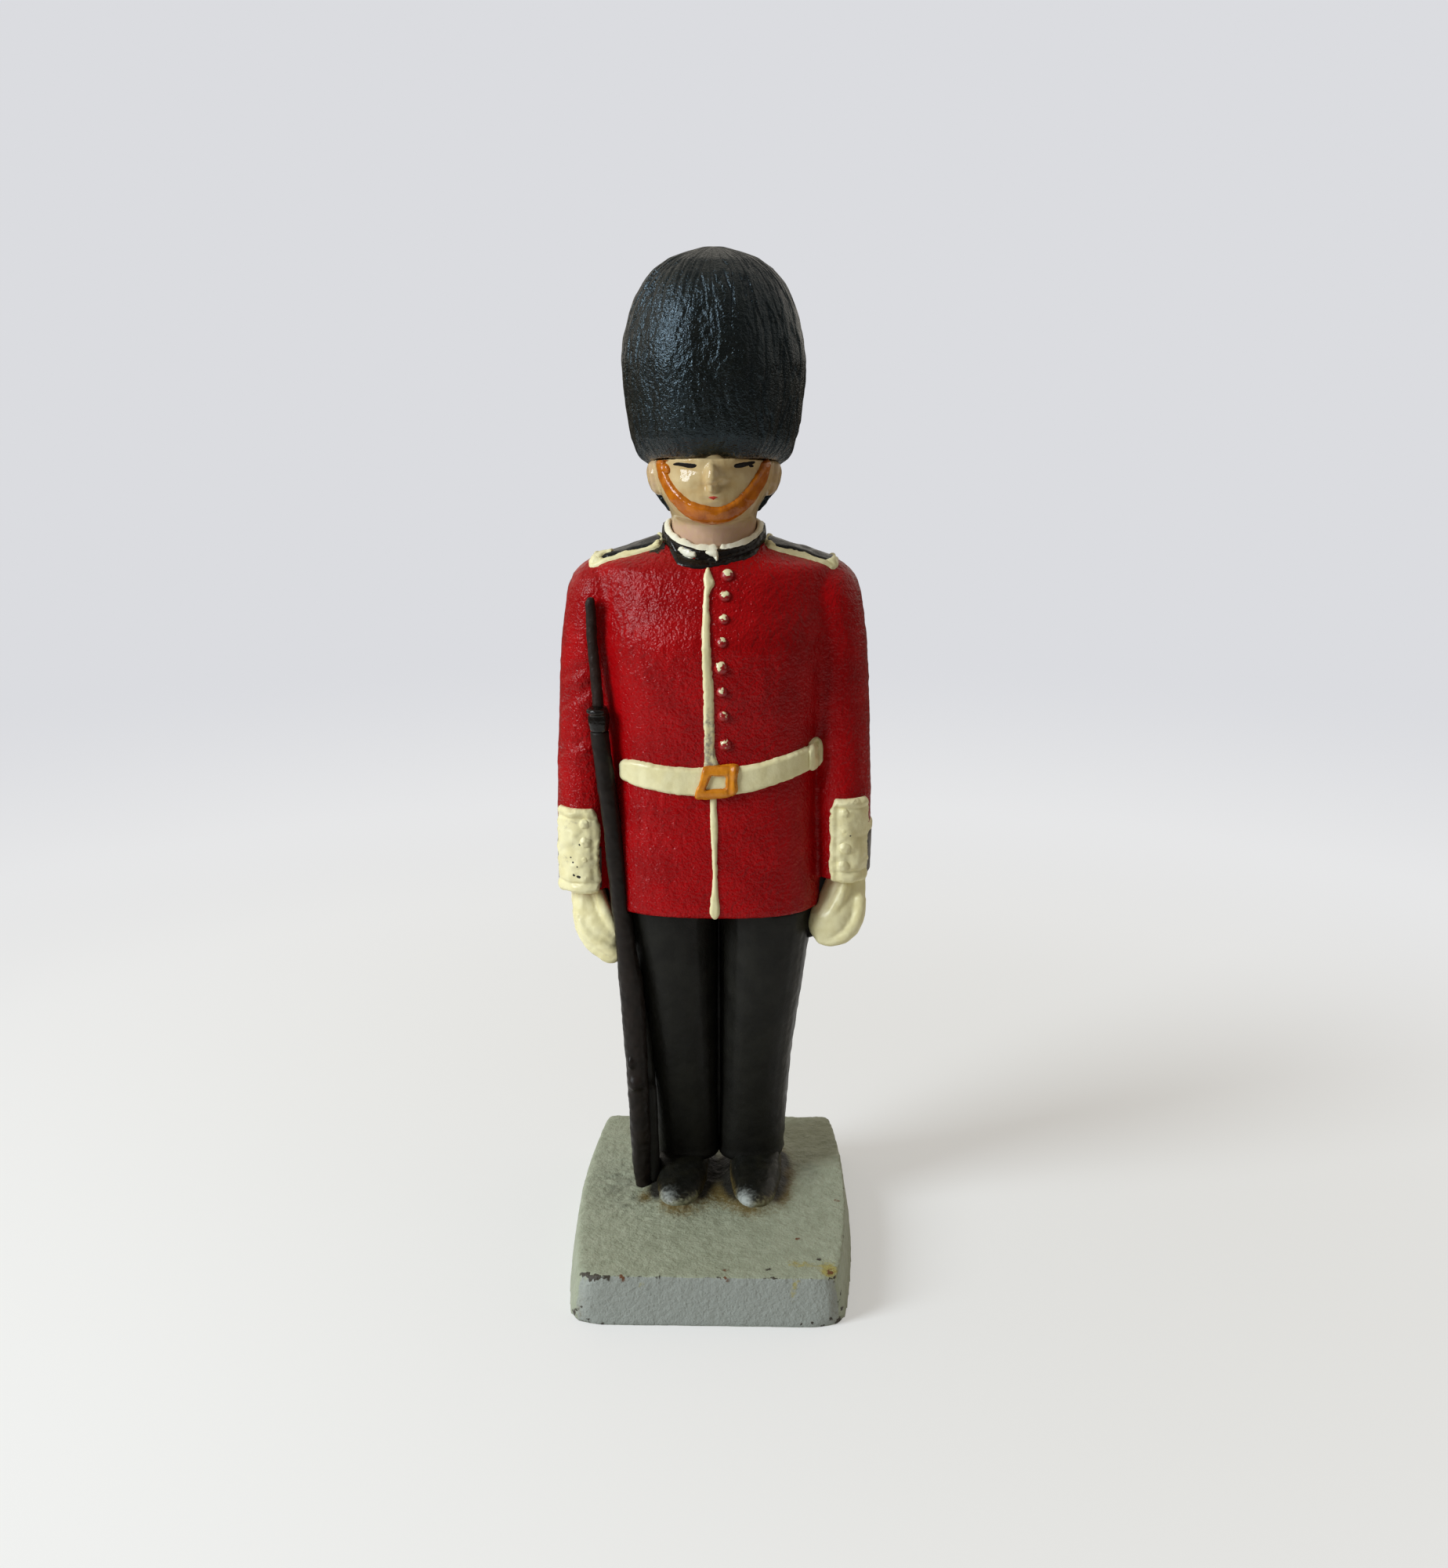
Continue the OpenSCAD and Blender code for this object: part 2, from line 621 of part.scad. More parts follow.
module rifle_form() {
    stock_form();
    nose_form();
    barrel_form();
}

// What the rifle lies against
module rifle_bed() {
    tunic_form();
    leg_form(right);
    boot_form(right);
}
module rifle_stock() {
    color([0.10, 0.08, 0.07]) casting() difference() {
        stock_form();
        rifle_bed();
    }
}
module rifle_nose_cap() {
    color([0.06, 0.06, 0.06]) casting() difference() {
        nose_form();
        rifle_bed();
    }
}
module rifle_barrel() {
    color([0.16, 0.12, 0.10]) casting() difference() {
        barrel_form();
        rifle_bed();
    }
}

// Belt
module belt_band() { translate([-far / 2, axis_y - far / 2, belt_z]) cube([far, far, belt_w]); }
module belt_strap() {
    color([0.93, 0.89, 0.76]) casting() difference() {
        intersection() {
            torso_form(belt_t);
            belt_band();
            children();
        }
        tunic_form();
        rifle_form();
    }
}
module belt_front() { belt_strap() front_half(); }
module belt_back() { belt_strap() back_half(); }

buckle_mid_z = belt_z + belt_w / 2;
module buckle_window(grow) {
    w = buckle_w / 2 + grow;
    h = buckle_h / 2 + grow;
    front_window(buckle_x - w, buckle_x + w, buckle_mid_z - h, buckle_mid_z + h);
}
module belt_buckle() {
    color([0.80, 0.42, 0.08]) casting() difference() {
        intersection() {
            torso_form(belt_t + buckle_t);
            buckle_window(0);
        }
        buckle_window(-buckle_rim);
        torso_form(belt_t);
    }
}
module belt_keeper() {
    keeper_x = waist_w / 2 - keeper_w;
    low_z = belt_z - keeper_over;
    high_z = belt_z + belt_w + keeper_over;
    color([0.93, 0.89, 0.76]) casting() difference() {
        intersection() {
            torso_form(belt_t + keeper_t);
            front_window(keeper_x, keeper_x + keeper_w, low_z, high_z);
        }
        tunic_form();
        intersection() {
            torso_form(belt_t);
            belt_band();
        }
    }
}

// Piping and buttons down the front
module piping(x, z0, z1) {
    color([0.93, 0.89, 0.76]) casting() tunic_trim(piping_t)
        front_window(x - piping_w / 2, x + piping_w / 2, z0, z1);
}
module front_piping_upper() { piping(piping_x, buckle_mid_z + max(belt_w, buckle_h) / 2, collar_foot_z); }
module front_piping_lower() { piping(-piping_x, hem_z, buckle_mid_z - max(belt_w, buckle_h) / 2); }

button_low_z = belt_z + belt_w + button_low;
button_top_z = collar_foot_z - button_d / 2;
module tunic_buttons() {
    pitch = (button_top_z - button_low_z) / (button_count - 1);
    color([0.93, 0.89, 0.76]) casting() difference() {
        for (i = [0 : button_count - 1])
            let (z = button_low_z + i * pitch)
            translate([button_x, torso_front(button_x, z), z]) sphere(d = button_d, $fn = 10);
        tunic_form();
    }
}

// Collar, its lining and its badge
module above(z, tilt) {
    translate([0, axis_y, z]) rotate([tilt, 0, 0]) translate([-far / 2, -far / 2, 0]) cube(far);
}
module above_rim(rise) {
    above(neck_z + collar_h + rise, collar_tilt);
    above(neck_z + collar_h + rise, collar_tilt / 5);
}
collar_tall = collar_drop + 3 * collar_h;
module collar_cone(grow) {
    translate([0, axis_y, collar_foot_z])
        cylinder(r1 = collar_foot_r + grow, r2 = collar_rim_r + grow, h = collar_tall, $fn = 48);
}
module collar() {
    color([0.04, 0.04, 0.05]) casting() difference() {
        collar_cone(0);
        neck_well();
        torso_form();
        above_rim(0);
    }
}
module collar_lining() {
    color([0.95, 0.93, 0.84]) casting() difference() {
        translate([0, axis_y, socket_top_z])
            cylinder(r = collar_bore_r, h = collar_tall + lining_rise, $fn = 48);
        translate([0, axis_y, 0]) cylinder(r = lining_r, h = far, $fn = 48);
        above_rim(lining_rise);
    }
}
module collar_badge() {
    badge_x = -collar_rim_r * sin(24);
    badge_z = collar_foot_z + badge_h / 2 + badge_t;
    color([0.95, 0.93, 0.84]) casting() difference() {
        intersection() {
            collar_cone(badge_t);
            front_window(badge_x - badge_w / 2, badge_x + badge_w / 2, badge_z, badge_z + badge_h);
        }
        collar_cone(0);
        torso_form();
    }
}

// Shoulder straps and their edging
strap_in = collar_foot_r + 0.2;
strap_out = shoulder_w / 2 + 0.4;
module strap_window(side, grow) {
    w = strap_w / 2 + grow;
    reach = strap_out + grow;
    translate([side > 0 ? strap_in : -reach, axis_y - w, shoulder_z - strap_w])
        cube([reach - strap_in, 2 * w, far]);
}
module shoulder_strap(side) {
    color([0.05, 0.06, 0.08]) casting() tunic_trim(strap_t) strap_window(side, -strap_edge_w);
}
module strap_edging(side) {
    color([0.93, 0.89, 0.72]) casting() tunic_trim(strap_t + edging_rise) difference() {
        strap_window(side, 0);
        strap_window(side, -strap_edge_w);
    }
}
module right_shoulder_strap() { shoulder_strap(right); }
module left_shoulder_strap() { shoulder_strap(left); }
module right_strap_edging() { strap_edging(right); }
module left_strap_edging() { strap_edging(left); }

// Cuffs, their piping, the white slashes and the slash buttons
slash_mid = arm_out_cuff - arm_w_cuff / 2 + 1;
slash_top_z = sleeve_end_z(right) + slash_h;
rifle_edge = abs(station(stock_rows, slash_top_z, 1)) + station(stock_rows, slash_top_z, 3);
slash_out = slash_mid + slash_w / 2;
function slash_in(side) = max(slash_out - slash_w, side == right ? rifle_edge : 0);
module slash_window(side) {
    z = sleeve_end_z(side);
    a = side * slash_in(side);
    b = side * slash_out;
    front_window(min(a, b), max(a, b), z, z + slash_h);
}
module sleeve_band(side, t, z0, z1) {
    difference() {
        intersection() {
            sleeve_form(side, t);
            translate([-far / 2, axis_y - far / 2, z0]) cube([far, far, z1 - z0]);
        }
        tunic_form();
        slash_window(side);
        rifle_form();
    }
}
module cuff(side) {
    low_z = sleeve_end_z(side);
    color([0.07, 0.09, 0.13]) casting() sleeve_band(side, cuff_t, low_z, low_z + cuff_h);
}
module cuff_piping(side) {
    low_z = sleeve_end_z(side) + cuff_h;
    color([0.93, 0.89, 0.76]) casting() sleeve_band(side, slash_t, low_z, low_z + cuff_piping_h);
}
module cuff_slash(side) {
    color([0.95, 0.92, 0.80]) casting() difference() {
        intersection() {
            sleeve_form(side, slash_t);
            slash_window(side);
        }
        tunic_form();
        rifle_form();
    }
}
module right_cuff() { cuff(right); }
module left_cuff() { cuff(left); }
module right_cuff_piping() { cuff_piping(right); }
module left_cuff_piping() { cuff_piping(left); }
module right_cuff_slash() { cuff_slash(right); }
module left_cuff_slash() { cuff_slash(left); }

function sleeve_front(side, x, z) =
    let (rows = sleeve_rows(side), square = station(rows, z, 6))
    station(rows, z, 2) - slash_t - station(rows, z, 4)
    * pow(1 - pow(abs(x - station(rows, z, 1)) / (station(rows, z, 3) + slash_t), square), 1 / square);
module cuff_buttons() {
    color([0.95, 0.92, 0.80]) for (side = [right, left]) casting() difference() {
        for (i = [1 : cuff_button_count])
            let (x = side * (slash_in(side) + slash_out) / 2,
                 z = sleeve_end_z(side) + slash_h * (i - 0.5) / cuff_button_count)
            translate([x, sleeve_front(side, x, z), z]) sphere(d = cuff_button_d, $fn = 10);
        sleeve_form(side, slash_t);
    }
}

// Gloves, from the fingertips up to the wrist
function glove_row(side, t, x, w, d) =
    [sleeve_end_z(side) - t * glove_len, side * x, axis_y - cuff_fwd - 3 * t, w / 2, d / 2, d / 2, 2.2];
function glove_rows(side, x, curl) = [
    glove_row(side, 1, x - curl, 0.34 * glove_w, 0.5 * glove_d),
    glove_row(side, 0.88, x - 0.9 * curl, 0.68 * glove_w, 0.8 * glove_d),
    glove_row(side, 0.55, x - 0.55 * curl, glove_w, glove_d),
    glove_row(side, 0.25, x - 0.15 * curl, 0.8 * glove_w, 0.82 * glove_d),
    glove_row(side, 0, x, glove_wrist_w, 0.7 * glove_d)];
module glove(side, x, curl) {
    color([0.93, 0.90, 0.76]) casting() difference() {
        skin(form(glove_rows(side, x, curl), 2, 24));
        tunic_form();
        leg_form(side);
        if (side == right) stock_form();
    }
}
module right_glove() { glove(right, right_wrist_x, glove_w / 2); }
module left_glove() { glove(left, left_wrist_x, glove_w / 3); }

// Neck socket, clamped in the tunic, and the spigot that turns in it
module neck_socket() {
    color("darkgoldenrod") translate([0, axis_y, socket_low_z]) difference() {
        cylinder(d = socket_d, h = socket_len);
        translate([0, 0, -1]) cylinder(r = spigot_d / 2 + running_fit, h = socket_len + 2);
    }
}
spigot_top_z = neck_low_z + spigot_grip;
module neck_spigot() {
    color("gray") translate([0, axis_y, flange_low_z]) {
        cylinder(d = flange_d, h = flange_h);
        cylinder(d = spigot_d, h = spigot_top_z - flange_low_z);
    }
}

// Head with its neck, chin, nose and ears
function head_row(z, w, front, back, square) = [z, 0, axis_y, w / 2, front, back, square];
jaw_z = chin_z + 0.35 * (rim_z - chin_z);
brow_z = rim_z + 2 * face_front * sin(rim_tilt);
head_rows = [
    head_row(neck_low_z, 2 * neck_r, neck_r, neck_r, 2),
    head_row(chin_z - 0.6, 2 * neck_r, neck_r, neck_r, 2),
    head_row(chin_z + 0.5, 2 * neck_r + 0.4, 0.88 * face_front, neck_r, 2),
    head_row(chin_z + 1.8, 2 * neck_r + 1.2, 0.98 * face_front, neck_r + 0.2, 2.1),
    head_row(jaw_z + 1, 0.96 * face_w, face_front, 0.85 * head_back, 2.2),
    head_row(rim_z, face_w, face_front, head_back, 2.2),
    head_row(brow_z, face_w, face_front, head_back, 2.2)];
head_grid = form(head_rows, 2, 32);
nose_z = chin_z + 0.72 * (rim_z - chin_z);
ear_z = rim_z - 3.2;
module nose() {
    nose_h = 0.5 * (rim_z - chin_z);
    translate([0, axis_y - face_front + 0.3, nose_z + 0.25 * nose_h]) rotate([14, 0, 0])
        scale([1.5, nose_out, nose_h / 2 + 0.4]) sphere(r = 1, $fn = 12);
}
module ear(side) {
    translate([side * 0.97 * face_w / 2, axis_y + 0.5, ear_z])
        scale([ear_out, 2.6, 3.6]) sphere(r = 1, $fn = 12);
}
module head_form(t = 0) { skin(t == 0 ? head_grid : swell(head_grid, t)); }
module head() {
    color([0.90, 0.76, 0.58]) difference() {
        casting() difference() {
            union() {
                head_form();
                nose();
                ear(right);
                ear(left);
            }
            above(rim_z, -rim_tilt);
        }
        translate([0, axis_y, neck_low_z - 1])
            cylinder(d = spigot_d + fixing_fit / 5, h = spigot_grip + 1);
    }
}

// Chin strap: a curved band that hangs from the cap's rim and passes under the lower lip
strap_low_z = chin_z + chin_strap_w / 2 - 0.3;
strap_reach = 0.9 * face_w / 2;
function strap_line(x) = strap_low_z + (rim_z + 1 - strap_low_z) * pow(x / strap_reach, 2);
function strap_half(x) = chin_strap_w / 2 * (1 + abs(x) / face_w);
module chin_strap_window() {
    steps = 9;
    xs = [for (i = [-steps : steps]) 1.1 * strap_reach * i / steps];
    low = [for (x = xs) [x, strap_line(x) - strap_half(x)]];
    high = [for (i = [len(xs) - 1 : -1 : 0]) [xs[i], strap_line(xs[i]) + strap_half(xs[i])]];
    translate([0, axis_y, 0]) rotate([90, 0, 0]) linear_extrude(far) polygon(concat(low, high));
}
module chin_strap() {
    color([0.78, 0.40, 0.06]) casting() difference() {
        intersection() {
            head_form(chin_strap_t);
            chin_strap_window();
        }
        head_form();
        nose();
        ear(right);
        ear(left);
        above(rim_z, -rim_tilt);
        translate([-far / 2, axis_y - far / 2, 0]) cube([far, far, chin_z - 0.2]);
    }
}

// Hair at the nape, under the cap and clear of the collar
module hair() {
    hair_low_z = neck_z + collar_h + lining_rise + collar_rim_r * tan(collar_tilt / 5) + neck_gap;
    color([0.05, 0.04, 0.04]) casting() difference() {
        intersection() {
            head_form(hair_t);
            translate([-far / 2, axis_y + 2, hair_low_z]) cube(far);
        }
        head_form();
        ear(right);
        ear(left);
        above(rim_z, -rim_tilt);
    }
}

// Fur cap
function cap_row(z, r) = [z, 0, axis_y, r, 0.98 * r + 0.3, 1.02 * r, 2.08];
cap_rows = [
    cap_row(rim_z - 5, 0.93 * cap_rim_r),
    cap_row(rim_z + 0.04 * cap_h, cap_rim_r + 0.2),
    cap_row(rim_z + 0.25 * cap_h, 0.96 * cap_r),
    cap_row(rim_z + 0.48 * cap_h, cap_r),
    cap_row(rim_z + 0.7 * cap_h, 0.9 * cap_r),
    cap_row(rim_z + 0.84 * cap_h, 0.75 * cap_r),
    cap_row(rim_z + 0.95 * cap_h, 0.47 * cap_r),
    cap_row(cap_top_z, 0.1 * cap_r)];
// Faces across one lock
lock_sides = 6;
// A ring of the cap at a height: the locks turn with their sway, and their grooves run out at the crown
function fur_ring(z) =
    let (ring = section(cap_rows, z, lock_count * lock_sides, lock_sway * sin(360 * (z - rim_z) / cap_h)),
         deep = lock_groove * min(1, (cap_top_z - z) / (0.3 * cap_h)))
    [for (j = [0 : len(ring) - 1])
        let (out = ring[j] - [0, axis_y, z], groove = deep * (1 - abs(sin(180 * j / lock_sides))))
        ring[j] - groove * out / norm(out)];
module bearskin() {
    color([0.07, 0.08, 0.06]) casting() intersection() {
        skin([for (z = levels(cap_rows, 2)) fur_ring(z)]);
        above(rim_z, -rim_tilt);
    }
}

plinth();
tie_rods();
tie_nuts();
right_boot();
left_boot();
right_trouser_leg();
left_trouser_leg();
tunic_front();
tunic_back();
tunic_screws();
right_sleeve();
left_sleeve();
belt_front();
belt_back();
belt_buckle();
belt_keeper();
front_piping_upper();
front_piping_lower();
tunic_buttons();
collar();
collar_lining();
collar_badge();
right_shoulder_strap();
left_shoulder_strap();
right_strap_edging();
left_strap_edging();
right_cuff();
left_cuff();
right_cuff_piping();
left_cuff_piping();
right_cuff_slash();
left_cuff_slash();
cuff_buttons();
right_glove();
left_glove();
neck_socket();
neck_spigot();
head();
chin_strap();
hair();
bearskin();
rifle_stock();
rifle_barrel();
rifle_nose_cap();
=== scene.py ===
# %% [markdown]
# # A painted cast toy guard
# The real figure is an iron casting about 200 mm tall, brushed with thick glossy enamel by hand. Its charm
# is in what a clean model lacks: sand grain under the paint, ragged brush edges, worn toes and chipped
# corners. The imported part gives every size. This lesson dresses it: each main form is taken from the part's
# own solids, softened like clay, roughened like a casting, and painted.

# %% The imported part
import json
import math
from itertools import product

import bmesh
import bpy
import numpy as np
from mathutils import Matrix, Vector
from mathutils.bvhtree import BVHTree


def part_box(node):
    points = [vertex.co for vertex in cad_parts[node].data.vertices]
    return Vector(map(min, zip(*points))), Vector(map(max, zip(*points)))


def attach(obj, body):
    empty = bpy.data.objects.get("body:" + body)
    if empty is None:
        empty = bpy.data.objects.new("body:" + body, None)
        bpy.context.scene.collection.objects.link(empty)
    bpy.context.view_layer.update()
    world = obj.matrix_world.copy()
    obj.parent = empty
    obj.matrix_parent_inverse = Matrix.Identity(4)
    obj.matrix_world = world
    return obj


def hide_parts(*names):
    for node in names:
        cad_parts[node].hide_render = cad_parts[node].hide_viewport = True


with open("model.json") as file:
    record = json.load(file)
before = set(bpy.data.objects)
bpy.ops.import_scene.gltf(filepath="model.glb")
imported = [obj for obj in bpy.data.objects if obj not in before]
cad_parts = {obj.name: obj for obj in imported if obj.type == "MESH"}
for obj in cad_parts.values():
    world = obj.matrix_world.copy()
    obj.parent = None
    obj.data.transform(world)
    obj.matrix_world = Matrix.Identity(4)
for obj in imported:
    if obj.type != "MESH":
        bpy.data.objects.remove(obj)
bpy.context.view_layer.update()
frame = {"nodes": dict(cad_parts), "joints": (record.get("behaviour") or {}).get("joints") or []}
scene = bpy.context.scene
MM = 0.001


def span(node):
    """Lowest and highest corner of a node, in millimetres."""
    return [np.array(corner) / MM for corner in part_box(node)]


axis_y = frame["joints"][0]["pos_m"][1] / MM      # the upright axis through the neck lies at x 0 and this y
plinth_top = span("plinth")[1][2]
trouser_hem = span("right_trouser_leg")[0][2]
cap_top = span("bearskin")[1][2]
print("nodes", len(frame["nodes"]), "trouser hem", round(trouser_hem, 2), "cap top", round(cap_top, 2))

# %% [markdown]
# ## Camera
# The photograph looks slightly down on the figure from about two figure heights away. A camera is placed by
# its own numbers here, because tracking it to a target would hide the small yaw that the view has.

# %% Camera
CAMERA_AT = (12.5, -390.95, 207.06)
CAMERA_DOWN = 15.5
CAMERA_YAW = 1.5
CAMERA_LENS = 46.78

camera = bpy.data.objects.new("camera", bpy.data.cameras.new("camera"))
camera.data.lens = CAMERA_LENS
camera.data.clip_start = 0.01
camera.location = np.array(CAMERA_AT) * MM
camera.rotation_euler = (math.radians(90 - CAMERA_DOWN), 0, math.radians(CAMERA_YAW))
scene.collection.objects.link(camera)
scene.camera = camera
print("camera", [round(value, 4) for value in camera.location])

# %% [markdown]
# ## Mixing paint
# Every finish on the figure is brushed enamel over a rough casting, so one small bench mixes them all. It
# holds a node tree, and each method adds one node: a sum, a range, a mix, a bump. Wiring every tin by hand
# would take hundreds of lines. Patterns follow Object coordinates, so they stay put when the head turns.

# %% A bench for mixing paint
NOISE_MOST = (0.3, 0.7)      # most values of a noise lie between these
NOISE_WIDE = (0.25, 0.75)


def tone(red, green, blue):
    """A colour as a paint chart gives it, 0 to 255, in the linear light that Blender mixes."""
    chart = np.array([red, green, blue]) / 255
    light = np.where(chart <= 0.04045, chart / 12.92, ((chart + 0.055) / 1.055) ** 2.4)
    return (*light.tolist(), 1.0)


class Bench:
    """A node tree being written. Each method adds a node and gives back what comes out of it."""

    def __init__(self, tree):
        self.tree = tree

    def feed(self, socket, value):
        if isinstance(value, bpy.types.NodeSocket):
            self.tree.links.new(value, socket)
        else:
            socket.default_value = value

    def add(self, kind, feeds=(), **settings):
        """A node with its settings, and its sockets fed by number or name."""
        node = self.tree.nodes.new(kind)
        for name, value in settings.items():
            setattr(node, name, value)
        for socket, value in dict(feeds).items():
            self.feed(node.inputs[socket], value)
        return node.outputs

    def sums(self, operation, first, second=0.0):
        return self.add("ShaderNodeMath", {0: first, 1: second}, operation=operation)[0]

    def vector(self, operation, first, second):
        return self.add("ShaderNodeVectorMath", {0: first, 1: second}, operation=operation)[0]

    def scaled(self, way, size):
        return self.add("ShaderNodeVectorMath", {0: way, "Scale": size}, operation="SCALE")[0]

    def ramp(self, value, low, high, to=(0.0, 1.0)):
        """A soft step: the first of two numbers at low, the second at high."""
        feeds = dict(enumerate((value, low, high, *to)))
        return self.add("ShaderNodeMapRange", feeds, interpolation_type="SMOOTHSTEP")[0]


class Finish(Bench):
    """A paint being mixed: its material, its shader and the place that its patterns follow."""

    def __init__(self, name):
        self.material = bpy.data.materials.new(name)
        self.material.use_nodes = True
        super().__init__(self.material.node_tree)
        self.shader = self.tree.nodes["Principled BSDF"]
        self.where = self.add("ShaderNodeTexCoord")["Object"]

    def shade(self, feeds):
        """Feed the shader's own sockets by name."""
        for name, value in feeds.items():
            self.feed(self.shader.inputs[name], value)

    def grain(self, size, detail=3.0, stretch=(1, 1, 1)):
        """Noise with lumps about size across, in millimetres."""
        place = self.add("ShaderNodeMapping", {"Vector": self.where, "Scale": stretch})[0]
        feeds = {"Vector": place, "Scale": 1 / (size * MM), "Detail": detail}
        return self.add("ShaderNodeTexNoise", feeds)[0]

    def mark(self, name):
        """A number that the mesh carries at each point, such as how worn it is."""
        return self.add("ShaderNodeAttribute", attribute_name=name)["Fac"]

    def mix(self, share, under, over):
        return self.add("ShaderNodeMix", {0: share, 6: under, 7: over}, data_type="RGBA")[2]

    def bump(self, layers):
        """Stack bumps, each a height and its depth in millimetres, into the shader's normal."""
        below = {}
        for height, deep in layers:
            feeds = {**below, "Distance": deep * MM, "Height": height}
            below = {"Normal": self.add("ShaderNodeBump", feeds)[0]}
        self.shade(below)


print("bench ready")

# %% [markdown]
# ### Enamel and bare metal
# The painter used thick enamel straight from the tin, and the fixings inside are bare turned metal. A picture
# for each would tie its marks to one shape. A noise gives the mottle, the gloss and the orange peel instead,
# and a stain shows only where the mesh marks wear, dirt or painted shade.

# %% Enamel and bare metal
def enamel(name, colour, deep, gloss=(0.26, 0.46), mottle=4.0, peel=(1.2, 0.05), grit=(0.4, 0.02),
           stains=(), shine=0.35):
    """Brushed enamel: two close tones, an uneven gloss, an orange-peel skin and stains where marked.

    Peel and grit are sizes and depths. A stain is its mark, its tone, where it starts and is full, and how
    ragged its edge is.
    """
    paint = Finish(name)
    coat = paint.mix(paint.ramp(paint.grain(mottle), 0.35, 0.68), colour, deep)
    for marked, stain, low, high, rough in stains:
        ragged = paint.ramp(paint.grain(0.8), *NOISE_WIDE, (-rough, rough))
        share = paint.ramp(paint.sums("ADD", paint.mark(marked), ragged), low, high)
        coat = paint.mix(share, coat, stain)
    uneven = paint.ramp(paint.grain(mottle * 0.6), *NOISE_MOST, gloss)
    paint.shade({"Base Color": coat, "Roughness": uneven, "Specular IOR Level": shine})
    paint.bump([(paint.grain(size, 2.0), depth) for size, depth in (peel, grit)])
    return paint.material


def metal(name, colour, rough):
    """Bare turned metal, for the fixings inside."""
    paint = Finish(name)
    dull = (*(0.6 * part for part in colour[:3]), 1)
    worn = paint.mix(paint.ramp(paint.grain(1.5), 0.4, 0.7), colour, dull)
    uneven = paint.ramp(paint.grain(0.8), *NOISE_MOST, (rough, rough + 0.2))
    paint.shade({"Metallic": 1.0, "Base Color": worn, "Roughness": uneven})
    turning = paint.grain(0.3, 1.0, (1, 1, 6))
    paint.bump([(turning, 0.01)])
    return paint.material


print("enamel and metal ready")

# %% [markdown]
# ## Finishes
# These are the tins on the painter's table. Each tone is named once and has a deeper partner that it is
# mottled with. A stain is a second colour that shows where the mesh is marked with it, with an edge that
# a noise makes ragged, so wear, dirt and painted shade follow the casting and need no picture.

# %% Finishes
CREAM = tone(233, 224, 178)
# In the grey paint, the front stain paints the front faces a slightly darker, bluer grey than the top:
# painted shade.
# The dark smear where the boots meet the plinth is partly their black paint run on to it and partly painted
# shade.
# The olive stain round the boots is partly old varnish and partly painted shade on the fillet.
grey_paint = enamel(
    "grey_paint", tone(152, 157, 136), tone(142, 147, 126), (0.45, 0.66), 3.0, (0.9, 0.3), (0.4, 0.12),
    (("front", tone(146, 150, 143), 0.35, 0.75, 0.1), ("olive", tone(98, 84, 46), 0.1, 0.8, 0.15),
     ("smudge_and_shade", tone(30, 28, 21), 0.1, 0.95, 0.06), ("lacquer", tone(150, 140, 78), 0.35, 1.0, 0.25),
     ("chip", tone(58, 52, 42), 0.5, 0.8, 0.4), ("rust", tone(98, 58, 28), 0.35, 0.8, 0.35)))
boot_paint = enamel(
    "boot_paint", tone(18, 18, 14), tone(26, 25, 18), (0.32, 0.5), 3.0, (1.0, 0.08), (0.35, 0.04),
    (("olive", tone(92, 78, 42), 0.15, 1.0, 0.12), ("skirt", tone(122, 122, 96), 0.2, 0.95, 0.2),
     ("dust_and_sheen", tone(162, 167, 162), 0.1, 1.0, 0.14)), 0.25)
trouser_paint = enamel(
    "trouser_paint", tone(24, 23, 20), tone(31, 30, 26), (0.36, 0.5), 5.0, (1.2, 0.07), (0.35, 0.04),
    (("worn", tone(74, 70, 62), 0.4, 0.9, 0.25),), 0.16)
# The hollow stain in the red, cream, lining, ochre, buckle and skin paints darkens grooves and creases:
# painted shade, with some pooled paint and dirt.
red_paint = enamel(
    "red_paint", tone(160, 6, 11), tone(143, 4, 8), (0.12, 0.22), 7.0, (0.9, 0.3), (0.45, 0.1),
    (("hollow", tone(74, 3, 6), 0.25, 1.0, 0.1), ("slip", tone(24, 18, 15), 0.5, 0.62, 0.2)), 0.16)
# The dirt stain is dirt on the piping and the slashes, and painted shade under the gloves.
cream_paint = enamel(
    "cream_paint", CREAM, tone(225, 214, 163), (0.26, 0.42), 3.0, (1.1, 0.08), (0.4, 0.02),
    (("hollow", tone(158, 138, 84), 0.35, 1.0, 0.15), ("dirt_and_shade", tone(150, 140, 122), 0.3, 0.8, 0.25),
     ("pit", tone(36, 31, 24), 0.55, 0.7, 0.2)))
lining_paint = enamel(
    "lining_paint", tone(236, 232, 212), tone(228, 221, 194), (0.22, 0.4), 2.5, (1.0, 0.1), (0.4, 0.03),
    (("hollow", tone(158, 138, 84), 0.35, 1.0, 0.15),))
ochre_paint = enamel(
    "ochre_paint", tone(186, 104, 12), tone(164, 84, 6), (0.1, 0.24), 2.2, (0.9, 0.12), (0.35, 0.03),
    (("hollow", tone(104, 54, 8), 0.35, 1.0, 0.15),), 0.45)
buckle_paint = enamel(
    "buckle_paint", tone(210, 132, 30), tone(186, 108, 16), (0.16, 0.32), 2.2, (0.9, 0.1), (0.35, 0.03),
    (("hollow", tone(120, 66, 10), 0.35, 1.0, 0.15),))
black_gloss = enamel(
    "black_gloss", tone(15, 11, 9), tone(20, 14, 10), (0.1, 0.22), 2.5, (1.0, 0.16), (0.4, 0.05), (), 0.3)
strap_black = enamel(
    "strap_black", tone(18, 20, 21), tone(26, 26, 26), (0.22, 0.4), 2.0, (0.8, 0.1), (0.3, 0.04), (), 0.25)
cuff_grey = enamel("cuff_grey", tone(88, 78, 68), tone(72, 64, 56), (0.3, 0.5), 2.5)
